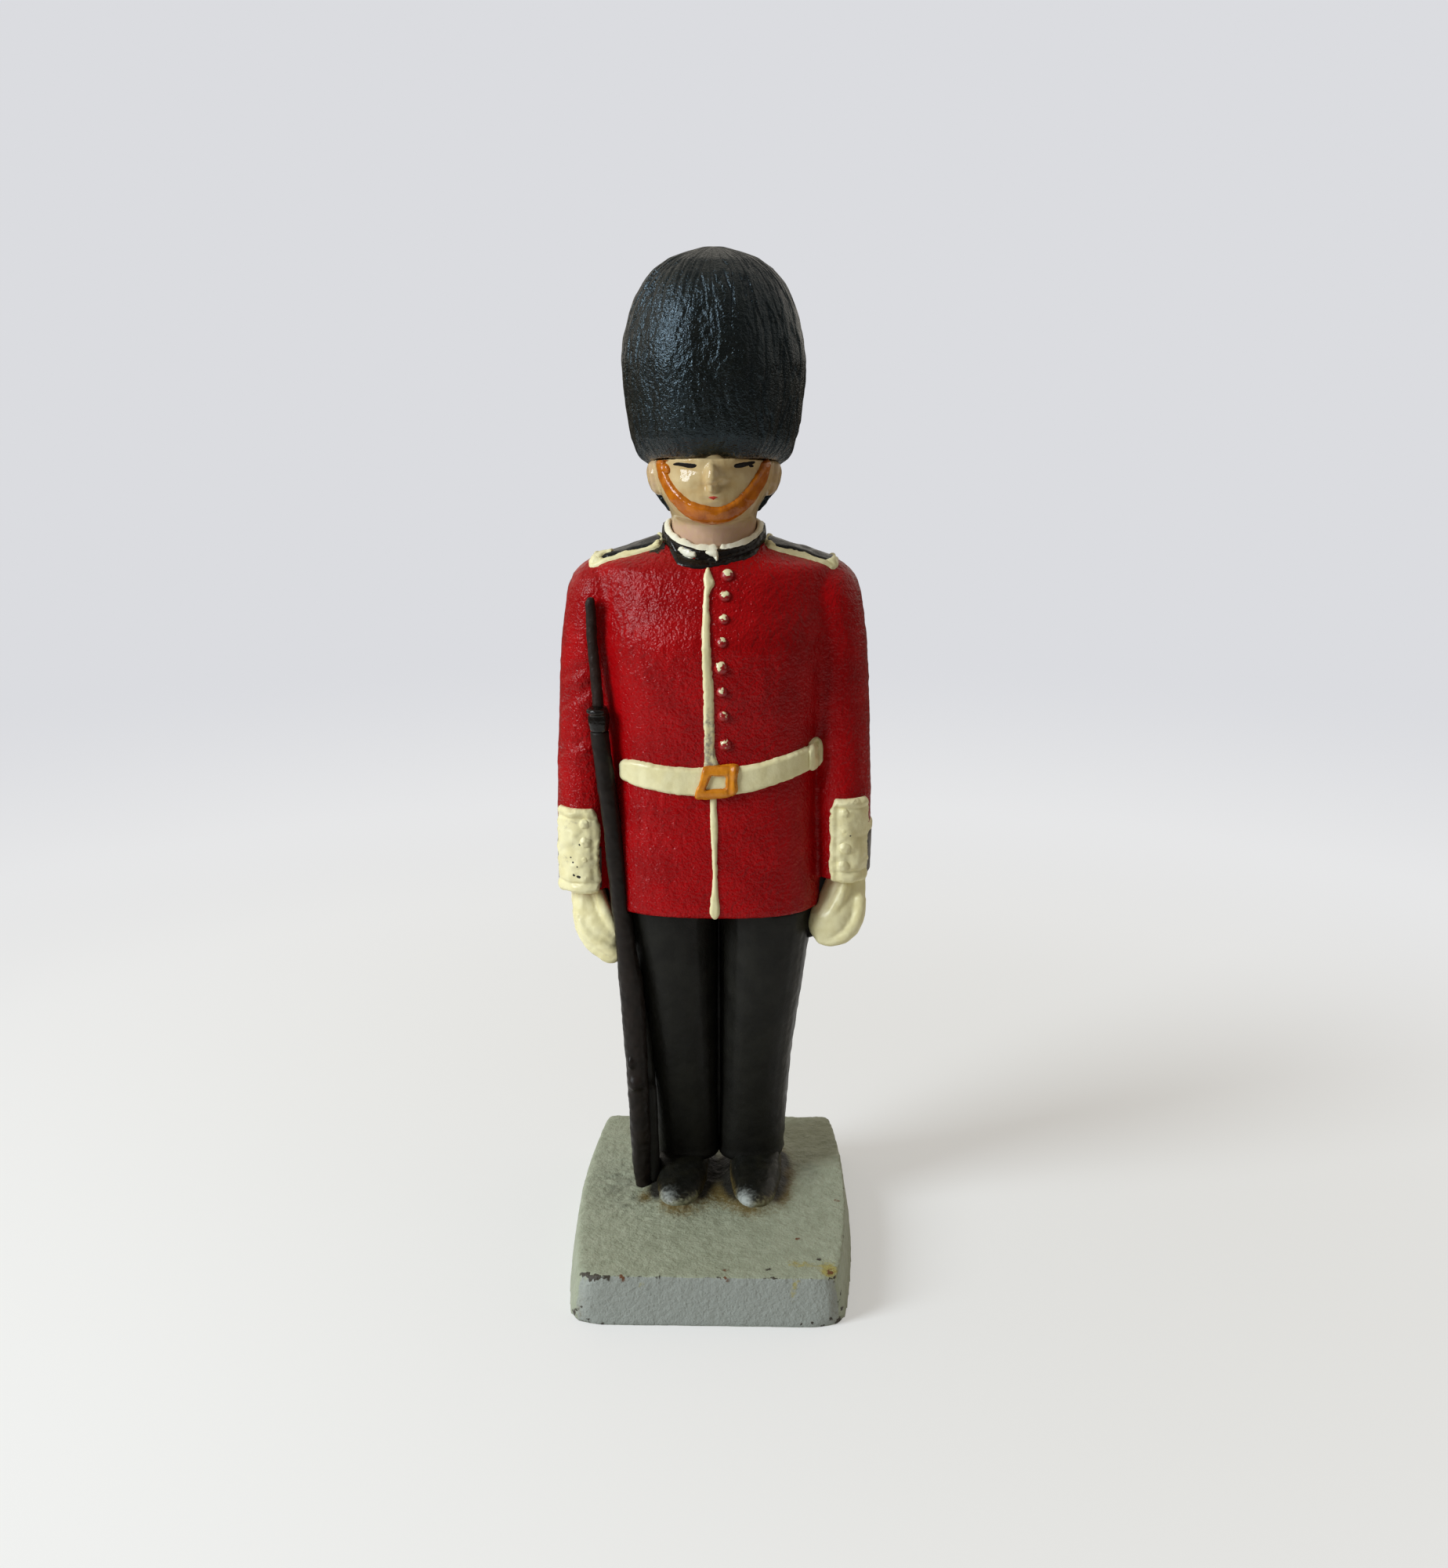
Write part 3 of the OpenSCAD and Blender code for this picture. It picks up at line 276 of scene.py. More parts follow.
skin_paint = enamel(
    "skin_paint", tone(200, 176, 130), tone(190, 160, 110), (0.08, 0.18), 3.0, (1.3, 0.07), (0.4, 0.02),
    (("hollow", tone(132, 96, 52), 0.3, 1.1, 0.1), ("blush", tone(196, 160, 138), 0.2, 0.9, 0.1)), 0.36)
barrel_brown = enamel(
    "barrel_brown", tone(36, 25, 21), tone(46, 32, 27), (0.4, 0.6), 2.0, (0.7, 0.1), (0.3, 0.05), (), 0.16)
stock_black = enamel("stock_black", tone(25, 20, 17), tone(33, 26, 22), (0.34, 0.52), 3.0, shine=0.18)
eye_black = enamel("eye_black", tone(18, 13, 10), tone(26, 18, 14), (0.3, 0.5), 0.8, shine=0.12)
lip_red = enamel("lip_red", tone(196, 58, 44), tone(176, 44, 34), (0.25, 0.4), 0.6)
bright_steel = metal("bright_steel", tone(172, 172, 168), 0.28)
bush_brass = metal("bush_brass", tone(196, 158, 88), 0.25)
print("finishes", len(bpy.data.materials))

# %% [markdown]
# ## Working in clay
# A casting has no sharp edges, and its parts melt into each other. Sculpting that by hand would take a
# dense mesh and much time. Here the part's own solids are fused by a voxel remesh, which gives even little
# faces everywhere, and are then softened. What follows is plain arithmetic on points: push some out, press
# some in, and roughen the rest.

# %% Clay
def bake(work):
    """The mesh that an object's modifiers give. The object itself is taken away."""
    graph = bpy.context.evaluated_depsgraph_get()
    done = bpy.data.meshes.new_from_object(work.evaluated_get(graph))
    spent = work.data
    bpy.data.objects.remove(work)
    bpy.data.meshes.remove(spent)
    return done


def workpiece(name, mesh):
    work = bpy.data.objects.new(name, mesh)
    scene.collection.objects.link(work)
    return work


def solid_of(node):
    """A node's own solid, as points in millimetres and faces, with doubles merged."""
    work = bmesh.new()
    work.from_mesh(frame["nodes"][node].data)
    bmesh.ops.remove_doubles(work, verts=work.verts, dist=0.002 * MM)
    work.verts.index_update()
    points = np.array([corner.co for corner in work.verts]) / MM
    faces = [[corner.index for corner in face.verts] for face in work.faces]
    work.free()
    return points, faces


def mesh_of(points, faces, name="mesh"):
    mesh = bpy.data.meshes.new(name)
    mesh.from_pydata((np.asarray(points) * MM).tolist(), [], faces)
    return mesh


def outward(mesh):
    """Turn every face of a closed mesh to look out."""
    work = bmesh.new()
    work.from_mesh(mesh)
    bmesh.ops.recalc_face_normals(work, faces=work.faces)
    work.to_mesh(mesh)
    work.free()
    return mesh


def clay(parts, voxel, rounds):
    """Fuse closed solids into one skin of little faces, and soften it."""
    points, faces = np.zeros((0, 3)), []
    for spots_in, faces_in in parts:
        faces += [[corner + len(points) for corner in face] for face in faces_in]
        points = np.vstack([points, spots_in])
    work = workpiece("clay", mesh_of(points, faces))
    fuse = work.modifiers.new("fuse", "REMESH")
    fuse.mode = "VOXEL"
    fuse.voxel_size = voxel * MM
    soften = work.modifiers.new("soften", "SMOOTH")
    soften.iterations = rounds
    return bake(work)


print("clay ready")

# %% [markdown]
# ### Moving points
# Once the clay is fused, each point can be moved on its own: out along its facing, or towards the place that
# a smoother mesh would give it. The difference from that smoother mesh also shows where the hollows are, and
# it is written on the mesh for the paint to darken them: painted shade, with some pooled paint and dirt.

# %% Moving points
def spots(mesh):
    """Every point of a mesh, in millimetres."""
    points = np.zeros(3 * len(mesh.vertices))
    mesh.vertices.foreach_get("co", points)
    return points.reshape(-1, 3) / MM


def facing(mesh):
    """The outward direction at every point."""
    ways = np.zeros(3 * len(mesh.vertices))
    mesh.vertex_normals.foreach_get("vector", ways)
    return ways.reshape(-1, 3)


def settle(mesh, points):
    mesh.vertices.foreach_set("co", (points * MM).ravel())
    mesh.update()


def push(mesh, far):
    """Move every point out along its own facing by so many millimetres."""
    settle(mesh, spots(mesh) + facing(mesh) * far[:, None])


def softened(mesh, rounds):
    """Where the points would lie if the mesh were worn smooth."""
    work = workpiece("worn", mesh.copy())
    soften = work.modifiers.new("soften", "SMOOTH")
    soften.iterations = rounds
    worn = bake(work)
    points = spots(worn)
    bpy.data.meshes.remove(worn)
    return points


def mark(mesh, name, values):
    """Write a number on every point, for a finish to read."""
    layer = mesh.attributes.new(name, "FLOAT", "POINT")
    layer.data.foreach_set("value", np.clip(values, 0, 1).astype(np.float32))


def mark_shaded_hollows(mesh, rounds, deep):
    """Mark grooves for the paint to darken: painted shade, with some pooled paint and dirt."""
    raised = np.sum((spots(mesh) - softened(mesh, rounds)) * facing(mesh), axis=1) / deep
    mark(mesh, "hollow", -raised)


print("points can be moved")

# %% [markdown]
# ### Grain, bumps and grooves
# Sand and brush leave small marks everywhere. Sculpting them one by one would take days. Here a mark is a
# number for every point of a mesh: a noise with a fixed seed, a soft step, or a hump round a place or along
# a line. The noise is written in arrays, which handle a hundred thousand points at once.

# %% Grain, bumps and grooves
SCATTER = (73856093, 19349663, 83492791)      # large odd numbers that shuffle the cells of the noise


def grain(points, size, seed):
    """Smooth noise from -1 to 1 at points in millimetres, with lumps about size across."""
    place = np.asarray(points, float) / size + seed * 31.7
    cell = np.floor(place).astype(np.int64)
    part = place - cell
    part = part * part * (3 - 2 * part)
    total = np.zeros(len(place))
    for corner in product((0, 1), repeat=3):
        at = (cell + corner) * SCATTER
        mixed = at[:, 0] ^ at[:, 1] ^ at[:, 2] ^ seed * 2654435
        mixed = (mixed ^ (mixed >> 13)) * 1274126177
        mixed = (mixed ^ (mixed >> 16)) & 0xFFFF
        weight = np.prod(np.where(corner, part, 1 - part), axis=1)
        total += weight * (mixed / 32767.5 - 1)
    return total


def rise(value, low, high):
    """A soft step from 0 at low to 1 at high."""
    share = np.clip((value - low) / (high - low), 0, 1)
    return share * share * (3 - 2 * share)


def fall(value, low, high):
    """A soft step from 1 at low to 0 at high."""
    return rise(-value, -high, -low)


def hump(value, middle, wide):
    """1 where a value meets its middle, fading to 0 about wide away."""
    return np.exp(-((value - middle) / wide) ** 2)


def near(points, middle, reach):
    """1 at a middle point, fading to 0 about a reach away."""
    return np.exp(-np.sum(((points - np.array(middle)) / reach) ** 2, axis=1))


def places(points, table):
    """Several places at once, each with its strength, middle and reach."""
    return sum(strong * near(points, middle, reach) for strong, middle, reach in table)


def along(points, start, end, wide):
    """1 on a straight line from start to end, fading to 0 about wide away."""
    start, run = np.array(start, float), np.array(end, float) - start
    share = np.clip((points - start) @ run / (run @ run), 0, 1)
    return near(points - share[:, None] * run, start, wide)


def sand(points, seed):
    """The skin that moulding sand leaves: grains about a millimetre across, in patches."""
    return 0.6 * grain(points, 1.1, seed) + 0.4 * grain(points, 0.7, seed + 1)


print("grain and grooves ready")

# %% [markdown]
# ### Lumps and fingers
# A nose, a thumb or a web of stray metal is more than a push can give. Each is a closed lump that is laid
# into the clay before it is fused. A few points with radii are enough for a finger, since a smooth curve
# runs through them.

# %% Lumps and fingers
def curve(points, count, closed=False):
    """A smooth line through a few points, as so many points."""
    points = np.array(points, float)
    if closed:
        spread = np.linspace(0, len(points), count, endpoint=False)
        padded = np.vstack([points[-1], points, points[0], points[1]])
    else:
        spread = np.linspace(0, len(points) - 1, count)
        padded = np.vstack([2 * points[0] - points[1], points, 2 * points[-1] - points[-2]])
    first = np.minimum(spread.astype(int), len(padded) - 4)
    t = (spread - first)[:, None]
    a, b, c, d = (padded[first + step] for step in range(4))
    return b + 0.5 * t * (c - a + t * (2 * a - 5 * b + 4 * c - d + t * (3 * (b - c) + d - a)))


def ring_faces(rings, sides):
    """Faces of a stack of rings whose two ends close on a point each, the last two points."""
    low, high = rings * sides, rings * sides + 1
    faces = []
    for i in range(rings - 1):
        here, above = i * sides, (i + 1) * sides
        for j in range(sides):
            after = (j + 1) % sides
            faces.append([here + j, here + after, above + after, above + j])
    top = (rings - 1) * sides
    faces += [[low, (j + 1) % sides, j] for j in range(sides)]
    faces += [[high, top + j, top + (j + 1) % sides] for j in range(sides)]
    return faces


def ball(middle, radii, sides=16):
    """A closed lump to add to clay."""
    turns = np.linspace(0, 2 * np.pi, sides, endpoint=False)
    lifts = np.linspace(-np.pi / 2, np.pi / 2, sides // 2 + 1)[1:-1]
    rings = [[np.cos(lift) * np.cos(turn), np.cos(lift) * np.sin(turn), np.sin(lift)]
             for lift in lifts for turn in turns]
    points = np.array(rings + [[0, 0, -1], [0, 0, 1]]) * radii + np.array(middle)
    return points, ring_faces(len(lifts), sides)


def limb(path, sides=14):
    """A finger of clay along points, each with its radius, round at both ends."""
    line = curve(path, 10 * len(path))
    middles, radii = line[:, :3], np.maximum(line[:, 3], 0.2)
    run = np.gradient(middles, axis=0)
    run /= np.linalg.norm(run, axis=1)[:, None]
    first, last = middles[0] - run[0] * radii[0], middles[-1] + run[-1] * radii[-1]
    side = np.cross(run, [0.31, 0.83, 0.47])
    side /= np.linalg.norm(side, axis=1)[:, None]
    other = np.cross(run, side)
    turns = np.linspace(0, 2 * np.pi, sides, endpoint=False)
    rings = [middle + radius * (np.cos(turn) * a + np.sin(turn) * b)
             for middle, radius, a, b in zip(middles, radii, side, other) for turn in turns]
    return np.array(rings + [first, last]), ring_faces(len(middles), sides)


print("lumps and fingers ready")

# %% [markdown]
# ### Handing a piece over
# A finished mesh becomes a piece of the figure: it gets its paint, rides on the figure or on its head, and
# stands for the nodes of the part that it dresses. Every piece goes through the same few lines, so nothing is
# forgotten, and each says how many faces it has.

# %% Handing a piece over
def piece(name, mesh, finish, body, slot, *nodes):
    """Hand a finished mesh over: its paint, the body it rides on, and the nodes that it stands for."""
    mesh.name = name
    if finish:
        mesh.materials.clear()
        mesh.materials.append(finish)
    mesh.shade_smooth()
    part = workpiece(name, mesh)
    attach(part, body)
    if nodes:
        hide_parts(*nodes)
    print(name, len(mesh.polygons), "faces")


print("pieces can be handed over")

# %% [markdown]
# ## Plinth
# The plinth is a heavy block with bowed sides, cast with the boots. Its left edge has gone soft, the front
# edge is crisp and chipped, and the sand has left a coarse patch beside the rifle. A bevelled cube would be
# quicker, but the clay copy keeps the pockets underneath and takes the fillet that runs up to the boots.

# %% Plinth
HAND = {"right": -1, "left": 1}      # which way each side of the figure lies along x


def bed_of(*meshes):
    """The surface that paint lies on or a gap is measured to, in millimetres."""
    points, faces = [], []
    for mesh in meshes:
        faces += [[corner + len(points) for corner in face.vertices] for face in mesh.polygons]
        points += spots(mesh).tolist()
    return BVHTree.FromPolygons(points, faces)


def gap_to(bed, points):
    return np.array([bed.find_nearest(point)[3] for point in points.tolist()])


TOE_SPREAD = 1.5      # how far the cast toes flow out on the plinth
FILLET_UP, FILLET_OUT = 1.3, 1.8      # height and reach of the metal that runs up to the boots
SAND_PATCHES = [(1.0, (-20, 2, 10), (6, 14, 4)), (0.5, (-4, -13, 10), (15, 6, 4))]
SIDE_PATCH = [(0.5, (20, 9, 10), (5, 9, 4))]


def spread_toes(points):
    """Boot points with the toes drawn forward."""
    return points - np.outer(rise(-points[:, 1], 0, 8), (0, TOE_SPREAD, 0))


boots = [solid_of(f"{side}_boot") for side in HAND]
boot_bed = bed_of(*[mesh_of(spread_toes(points), faces) for points, faces in boots])
plinth = clay([solid_of("plinth")], voxel=0.45, rounds=2)
block = spots(plinth)
corners = rise(np.abs(block[:, 0]), 20, 26) * rise(-block[:, 1], 33, 38)
left_side = rise(-block[:, 0], 20, 26) * rise(block[:, 2], 2, 6)
soft_side = np.maximum(left_side, 0.8 * rise(block[:, 1], 32, 38)) * rise(block[:, 2], 0.2, 2.5)
block += soft_side[:, None] * (softened(plinth, rounds=60) - block)
settle(plinth, block)
rounded_off = softened(plinth, rounds=300) - block
rounded_off[:, 2] *= rise(block[:, 2], 0.0, 0.8)
block += corners[:, None] * rounded_off
on_top = rise(block[:, 2], 8.2, 9.8)
boot_gap = np.full(len(block), 40.0)
boot_gap[on_top > 0] = gap_to(boot_bed, block[on_top > 0])
block[:, 2] += on_top * (FILLET_UP * np.exp(-boot_gap / FILLET_OUT) + 0.2 * grain(block, 17, 3))
settle(plinth, block)
coarse = places(block, SAND_PATCHES) + places(block, SIDE_PATCH) * on_top
skin = 0.55 * coarse * sand(block, 5) + (0.06 + 0.14 * on_top) * sand(block, 8)
push(plinth, skin + 0.08 * grain(block, 4, 6))
block = spots(plinth)
print("plinth points", len(block))

# %% [markdown]
# ### Wear on the plinth
# Chips show dark iron along the crisp edges, rust has come through in a few spots, and old lacquer has run
# yellow down the front. The marks are written on the mesh by distance from each place, so they are easy to
# move, and the paint's noise breaks their edges.

# %% Wear on the plinth
RUST_SPOTS = [(3.3, -34.1, 0.6), (3.5, -37.7, 1.0), (-16.6, -37.7, 1.1), (23.8, -34.4, 1.0),
              (17.5, -21.5, 0.6), (25.8, -5.0, 0.6)]      # each spot's x, y and size
CHIPS = [(11.9, -33.6, 0.7), (21.6, -29.6, 0.6), (-24.6, -37.2, 1.9), (-22.0, -37.6, 1.3),
         (-19.6, -37.7, 1.1), (25.2, -36.8, 1.6), (12.8, -36.6, 0.5), (7.6, -37.4, 0.6), (-9.5, -37.8, 0.7),
         (27.6, -20.0, 0.8), (28.2, -8.0, 0.9), (28.3, 0.5, 1.0)]
LOW_CHIPS = [(-26.2, 1.2, 0.6), (-25.6, 2.3, 0.45), (-23.4, 0.8, 0.4), (-24.4, 3.4, 0.3), (25.6, 0.8, 0.7),
             (26.0, 5.8, 0.5), (26.2, 2.6, 0.5), (25.4, 4.6, 0.4), (22.6, 0.6, 0.6), (20.6, 1.2, 0.4),
             (18.4, 0.7, 0.4), (20.8, 3.2, 0.35), (24.0, 1.6, 0.4)]      # on the front, by x and z
LACQUER = [((17.6, -31.6, 10.2), (3.0, 1.6, 2)), ((16.6, -38.2, 7.4), (0.9, 1.5, 2.3)),
           ((17.3, -38.0, 9.6), (1.0, 1.5, 1.4)), ((-12.8, -38.0, 8.2), (0.7, 1.5, 1.3)),
           ((23.4, -32.6, 10.2), (2.2, 3.0, 2)), ((23.8, -34.6, 10.2), (1.6, 1.6, 2))]
# Olive patches round the boots: partly old varnish, partly painted shade on the fillet.
OLIVE = [((1.2, -2.5, 12), (2.6, 6.5, 4)), ((-14.2, -5.0, 11), (1.6, 2.4, 2)), ((14.6, 0, 11), (1.6, 6.0, 3))]
SOOT_BESIDE = [(0.36, (20, 8, 10), (4.5, 8, 3))]
SOOT_BY_RIFLE = [(0.7, (-18, -1, 10), (6, 12, 3))]
# Between the boots the plinth is painted darker: painted shade.
SHADE_BETWEEN_BOOTS = [(0.8, (1.2, 7, 11), (2.4, 6, 3))]


def on_plinth(table):
    """Spots on the plinth's top edge, each with its x, y and size."""
    return sum(near(block, (x, y, plinth_top), size) for x, y, size in table)


ways = facing(plinth)
edge = np.sum((block - softened(plinth, rounds=12)) * ways, axis=1) / 0.22
crisp = np.clip(edge, 0, 1) * np.maximum(rise(-block[:, 1], 34, 37), 0.8 * rise(block[:, 0], 24, 26.5))
ahead = rise(-block[:, 1], 33, 35)
brink = ahead * rise(-ways[:, 1], 0.3, 0.5) * rise(ways[:, 2], 0.35, 0.55)
left_end = 0.75 + 0.5 * rise(-block[:, 0], 12, 20)
ragged = 0.65 + 0.5 * grain(block, 1.6, 11)
edge_chips = left_end * ragged * np.maximum(0.95 * crisp, 0.8 * brink)
low_chips = sum(ahead * near(block[:, ::2], (x, z), size) for x, z, size in LOW_CHIPS)
mark(plinth, "chip", edge_chips + on_plinth(CHIPS) + low_chips)
mark(plinth, "rust", on_plinth(RUST_SPOTS))
mark(plinth, "lacquer", 0.85 * sum(near(block, *patch) for patch in LACQUER))
# The olive halo round the boots is partly old varnish and partly painted shade on the fillet; the dark front
# corners are dirt.
halo = on_top * hump(boot_gap, 0, 3.4) * (0.75 + 0.45 * grain(block, 4, 13))
corner_dirt = 0.4 * rise(np.abs(block[:, 0]), 22.5, 26) * rise(-block[:, 1], 35.5, 37.5)
mark(plinth, "olive", 0.8 * halo + 0.6 * sum(near(block, *patch) for patch in OLIVE) + corner_dirt)
# The smear at the boots' feet is partly their black paint run on to the plinth and partly painted shade where
# boot meets plinth; the patches by the rifle and beside the left boot are dirt in the coarse sand.
smear = on_top * hump(boot_gap, 0, 1.7) * (1 - 0.75 * rise(-block[:, 1], 4, 9))
smudge_and_shade = smear * (0.95 + 0.4 * grain(block, 2.5, 14)) + places(block, SOOT_BESIDE)
smudge_and_shade += places(block, SOOT_BY_RIFLE) * (0.6 + 0.5 * grain(block, 1.6, 12))
mark(plinth, "smudge_and_shade", smudge_and_shade + places(block, SHADE_BETWEEN_BOOTS))
# Front faces are painted a slightly darker, bluer grey than the top: painted shade.
mark(plinth, "front", rise(-ways[:, 1], 0.5, 0.9))
piece("plinth_casting", plinth, grey_paint, "figure", "plinth_grey", "plinth")

# %% [markdown]
# ## Boots
# Two small rounded shoes, almost lost in the fillet, with toes that years of handling have rubbed back to a
# dusty grey, with a soft painted highlight laid on them too. They are separate pieces on the part, so each is
# its own clay with a toe that is marked pale: partly worn, partly painted highlight.

# %% Boots
TOE_WEAR_AND_SHEEN = {"right": ((-9.9, -8.6, 12.0), (3.2, 3.6, 2.6), 0.55),
            "left": ((6.2, -9.4, 11.8), (2.5, 3.8, 2.4), 0.9)}      # where, how wide and how strong


def shoe(side):
    boot = clay([solid_of(f"{side}_boot")], voxel=0.36, rounds=6)
    leather = spread_toes(spots(boot))
    settle(boot, leather)
    push(boot, 0.12 * sand(leather, 21) + 0.22 * grain(leather, 4.5, 22))
    leather = spots(boot)
    # The pale toe is partly wear and partly a painted highlight.
    middle, reach, strong = TOE_WEAR_AND_SHEEN[side]
    mark(boot, "dust_and_sheen", strong * near(leather, middle, reach))
    sole = fall(leather[:, 2], 10.8, 14.0)
    mark(boot, "olive", 0.9 * sole * (0.75 + 0.4 * grain(leather, 4, 23)))
    skirt = fall(leather[:, 2], 11.4, 13.4) * (0.7 + 0.4 * grain(leather, 3, 24))
    mark(boot, "skirt", skirt * rise(-leather[:, 1], 2, 7))
    piece(f"{side}_boot_casting", boot, boot_paint, "figure", "boot_black", f"{side}_boot")


for side in HAND:
    shoe(side)

# %% [markdown]
# ## Trouser legs
# Each leg tapers to a straight hem with a small rolled lip, and a ridge of flash runs down the outside where
# the mould's halves met. The lip and the ridge are pushed out of the clay, because a modelled edge loop would
# look too clean for a casting.

# %% Trouser legs
HEM_DROP = 1.5      # the hems sag over the boots


def trouser(side):
    leg = clay([solid_of(f"{side}_trouser_leg")], voxel=0.46, rounds=4)
    cloth = spots(leg)
    up = cloth[:, 2] - trouser_hem
    cloth[:, 2] -= HEM_DROP * fall(up, 0, 14)
    settle(leg, cloth)
    outside = rise(HAND[side] * cloth[:, 0], 4, 9)
    flash = outside * hump(cloth[:, 1] - axis_y, 1.7, 0.5) * (0.55 + 0.45 * grain(cloth, 1.6, 31))
    lip = hump(up, 0.9, 0.8)
    push(leg, 0.34 * flash + 0.3 * lip + 0.05 * sand(cloth, 33) + 0.12 * grain(cloth, 9, 34))
    lip_edge = hump(up, 0.35, 0.35) * rise(-facing(leg)[:, 1], 0.1, 0.6)
    mark(leg, "worn", 0.6 * lip_edge * (0.6 + 0.5 * grain(spots(leg), 2.5, 35)))
    piece(f"{side}_leg_casting", leg, trouser_paint, "figure", "trouser_black", f"{side}_trouser_leg")


for side in HAND:
    trouser(side)

# %% [markdown]
# ### Webs
# The mould could not reach between the legs, nor between the rifle, the gloves and the coat, so the metal
# there is one thin web, painted black. Without it, light would show through gaps that the real casting
# doesn't have. Its black also stands for the shade deep in those gaps, so the web is partly painted shade.
# Each web is a roll of clay that lies back in its gap.

# %% Webs
WEBS = [[(0.9, 12.5, 17, 1.6), (0.9, 12.5, 45, 1.8), (0.9, 12.5, 71, 2.0)],
        [(-13.0, 5.0, 13, 1.6), (-14.2, 5.0, 35, 1.8), (-16.4, 5.6, 58, 2.2), (-18.6, 6.4, 74, 2.4)],
        [(-12.6, 1.2, 11.6, 1.2), (-12.8, 1.6, 15, 1.5), (-13.0, 2.2, 22, 1.5), (-13.4, 3.2, 32, 1.5)],
        [(-20.6, 7.0, 80, 1.6), (-20.2, 6.6, 73, 2.2), (-18.6, 6.0, 65, 2.0)],
        [(22.0, 8.0, 80, 1.8), (21.6, 7.8, 73, 2.4), (20.6, 7.2, 67, 2.3), (19.8, 7.0, 65.2, 1.8)]]
# The webs' black is partly cast metal and partly painted shade in the gaps.
webs = clay([limb(path) for path in WEBS], voxel=0.5, rounds=3)
push(webs, 0.08 * sand(spots(webs), 37))
piece("cast_webs_and_shade", webs, trouser_paint, "figure", "trouser_black")

# %% [markdown]
# ## Tunic
# The red tunic and its sleeves were cast as one, so the four solids of the part are fused in one clay. The
# mould sand shows strongest on the chest and on the skirt's left, the elbows carry two shallow folds, and a
# long step runs down the front where one side of the coat laps over the other.

# %% Tunic
ELBOW_FOLDS = [((-31.5, 6.0, 112.5), (-24.0, 2.0, 117.8)), ((-31.5, 6.0, 103.2), (-26.0, 2.0, 106.4)),
               ((-30.5, 5.0, 119.5), (-26.0, 2.0, 121.5))]
FOLD_BACK = np.array([0, 0, 1.9])      # how far below a fold its swell lies
CHEST_SAND = [(1.0, (-15, -4, 128), (12, 14, 11)), (0.6, (13, -4, 128), (10, 14, 9))]
SKIRT_SAND = [(1.0, (-13, -5, 91), (7, 10, 9))]
SLIP = [(1.1, (-11.2, 6.6, 145.2), (2.5, 3.2, 2.0))]      # where the strap's black ran over the red
TUNIC = ("tunic_front", "tunic_back", "right_sleeve", "left_sleeve")

tunic = clay([solid_of(node) for node in TUNIC], voxel=0.45, rounds=13)
coat = spots(tunic)
armpit = hump(np.abs(coat[:, 0]), 21, 2.4) * rise(coat[:, 2], 106, 111) * fall(coat[:, 2], 132, 138)
coat += 0.8 * armpit[:, None] * (softened(tunic, rounds=90) - coat)
settle(tunic, coat)
ahead = rise(-facing(tunic)[:, 1], 0.0, 0.5)
arm_sand = 0.35 * rise(np.abs(coat[:, 0]), 22, 26)
rough_coat = 0.3 + 1.2 * np.maximum(places(coat, CHEST_SAND), places(coat, SKIRT_SAND)) + arm_sand
folds = sum(along(coat, start, end, 1.1) for start, end in ELBOW_FOLDS)
fold_backs = sum(along(coat, start - FOLD_BACK, end - FOLD_BACK, 1.2) for start, end in np.array(ELBOW_FOLDS))
lap = ahead * 0.28 * rise(-coat[:, 0], 0.2, 0.9) * rise(coat[:, 0], -9, -1.5) * rise(coat[:, 2], 103, 106)
seam = hump(coat[:, 1], axis_y, 0.5) * rise(np.abs(coat[:, 0]), 24, 28)
skin = 0.17 * rough_coat * sand(coat, 41) + 0.10 * grain(coat, 8, 43)
push(tunic, skin - 0.42 * folds + 0.3 * fold_backs + lap + 0.16 * seam * (0.6 + 0.4 * grain(coat, 1.5, 44)))
# The coat's creases, such as the valley between arm and chest, are marked for painted shade.
mark_shaded_hollows(tunic, rounds=40, deep=0.6)
mark(tunic, "slip", places(spots(tunic), SLIP))
coat_bed = bed_of(tunic)
piece("tunic_casting", tunic, red_paint, "figure", "tunic_red", *TUNIC)

# %% [markdown]
# ## Laying on paint
# The trims are raised bands that a brush has covered with thick paint. A texture could draw them, but then
# they would be flat. Here a band is drawn on a plane by its two edges, thrown on to the surface below by
# rays, and given a rounded thickness whose edge a noise makes uneven. Each becomes a thin closed shell.

# %% Rays and shells
SPARE = 0.35      # how far the shell runs on under its own edge
SUNK = 0.6        # how deep its underside lies


def plane_aim(axis, start, way):
    """An aim that throws a plane of points along an axis, from a start far outside."""
    def aim(flat):
        ways = np.zeros((len(flat), 3))
        ways[:, axis] = way
        return np.insert(flat, axis, start, axis=1), ways
    return aim


from_front = plane_aim(1, -60.0, 1)
from_back = plane_aim(1, 90.0, -1)
from_above = plane_aim(2, 160.0, -1)


def from_round(x, y, reach):
    """Throw a band, of distance round and height, in on an upright post from a reach away."""
    def aim(flat):
        turn = flat[:, 0] / reach
        way = np.column_stack([np.sin(turn), -np.cos(turn), np.zeros(len(turn))])
        return way * reach + np.column_stack([np.full(len(turn), x), np.full(len(turn), y), flat[:, 1]]), -way
    return aim


def throw(bed, starts, ways):
    """Where rays land and which way the surface faces there."""
    landed, normals, far = [], [], 60.0
    for start, way in zip(starts.tolist(), ways.tolist()):
        spot, normal, _, gone = bed.ray_cast(start, way)
        if spot is None:
            spot, normal, _, _ = bed.find_nearest(Vector(start) + Vector(way) * far)
        else:
            far = gone
        landed.append(spot[:])
        normals.append(normal[:])
    return np.array(landed), np.array(normals)


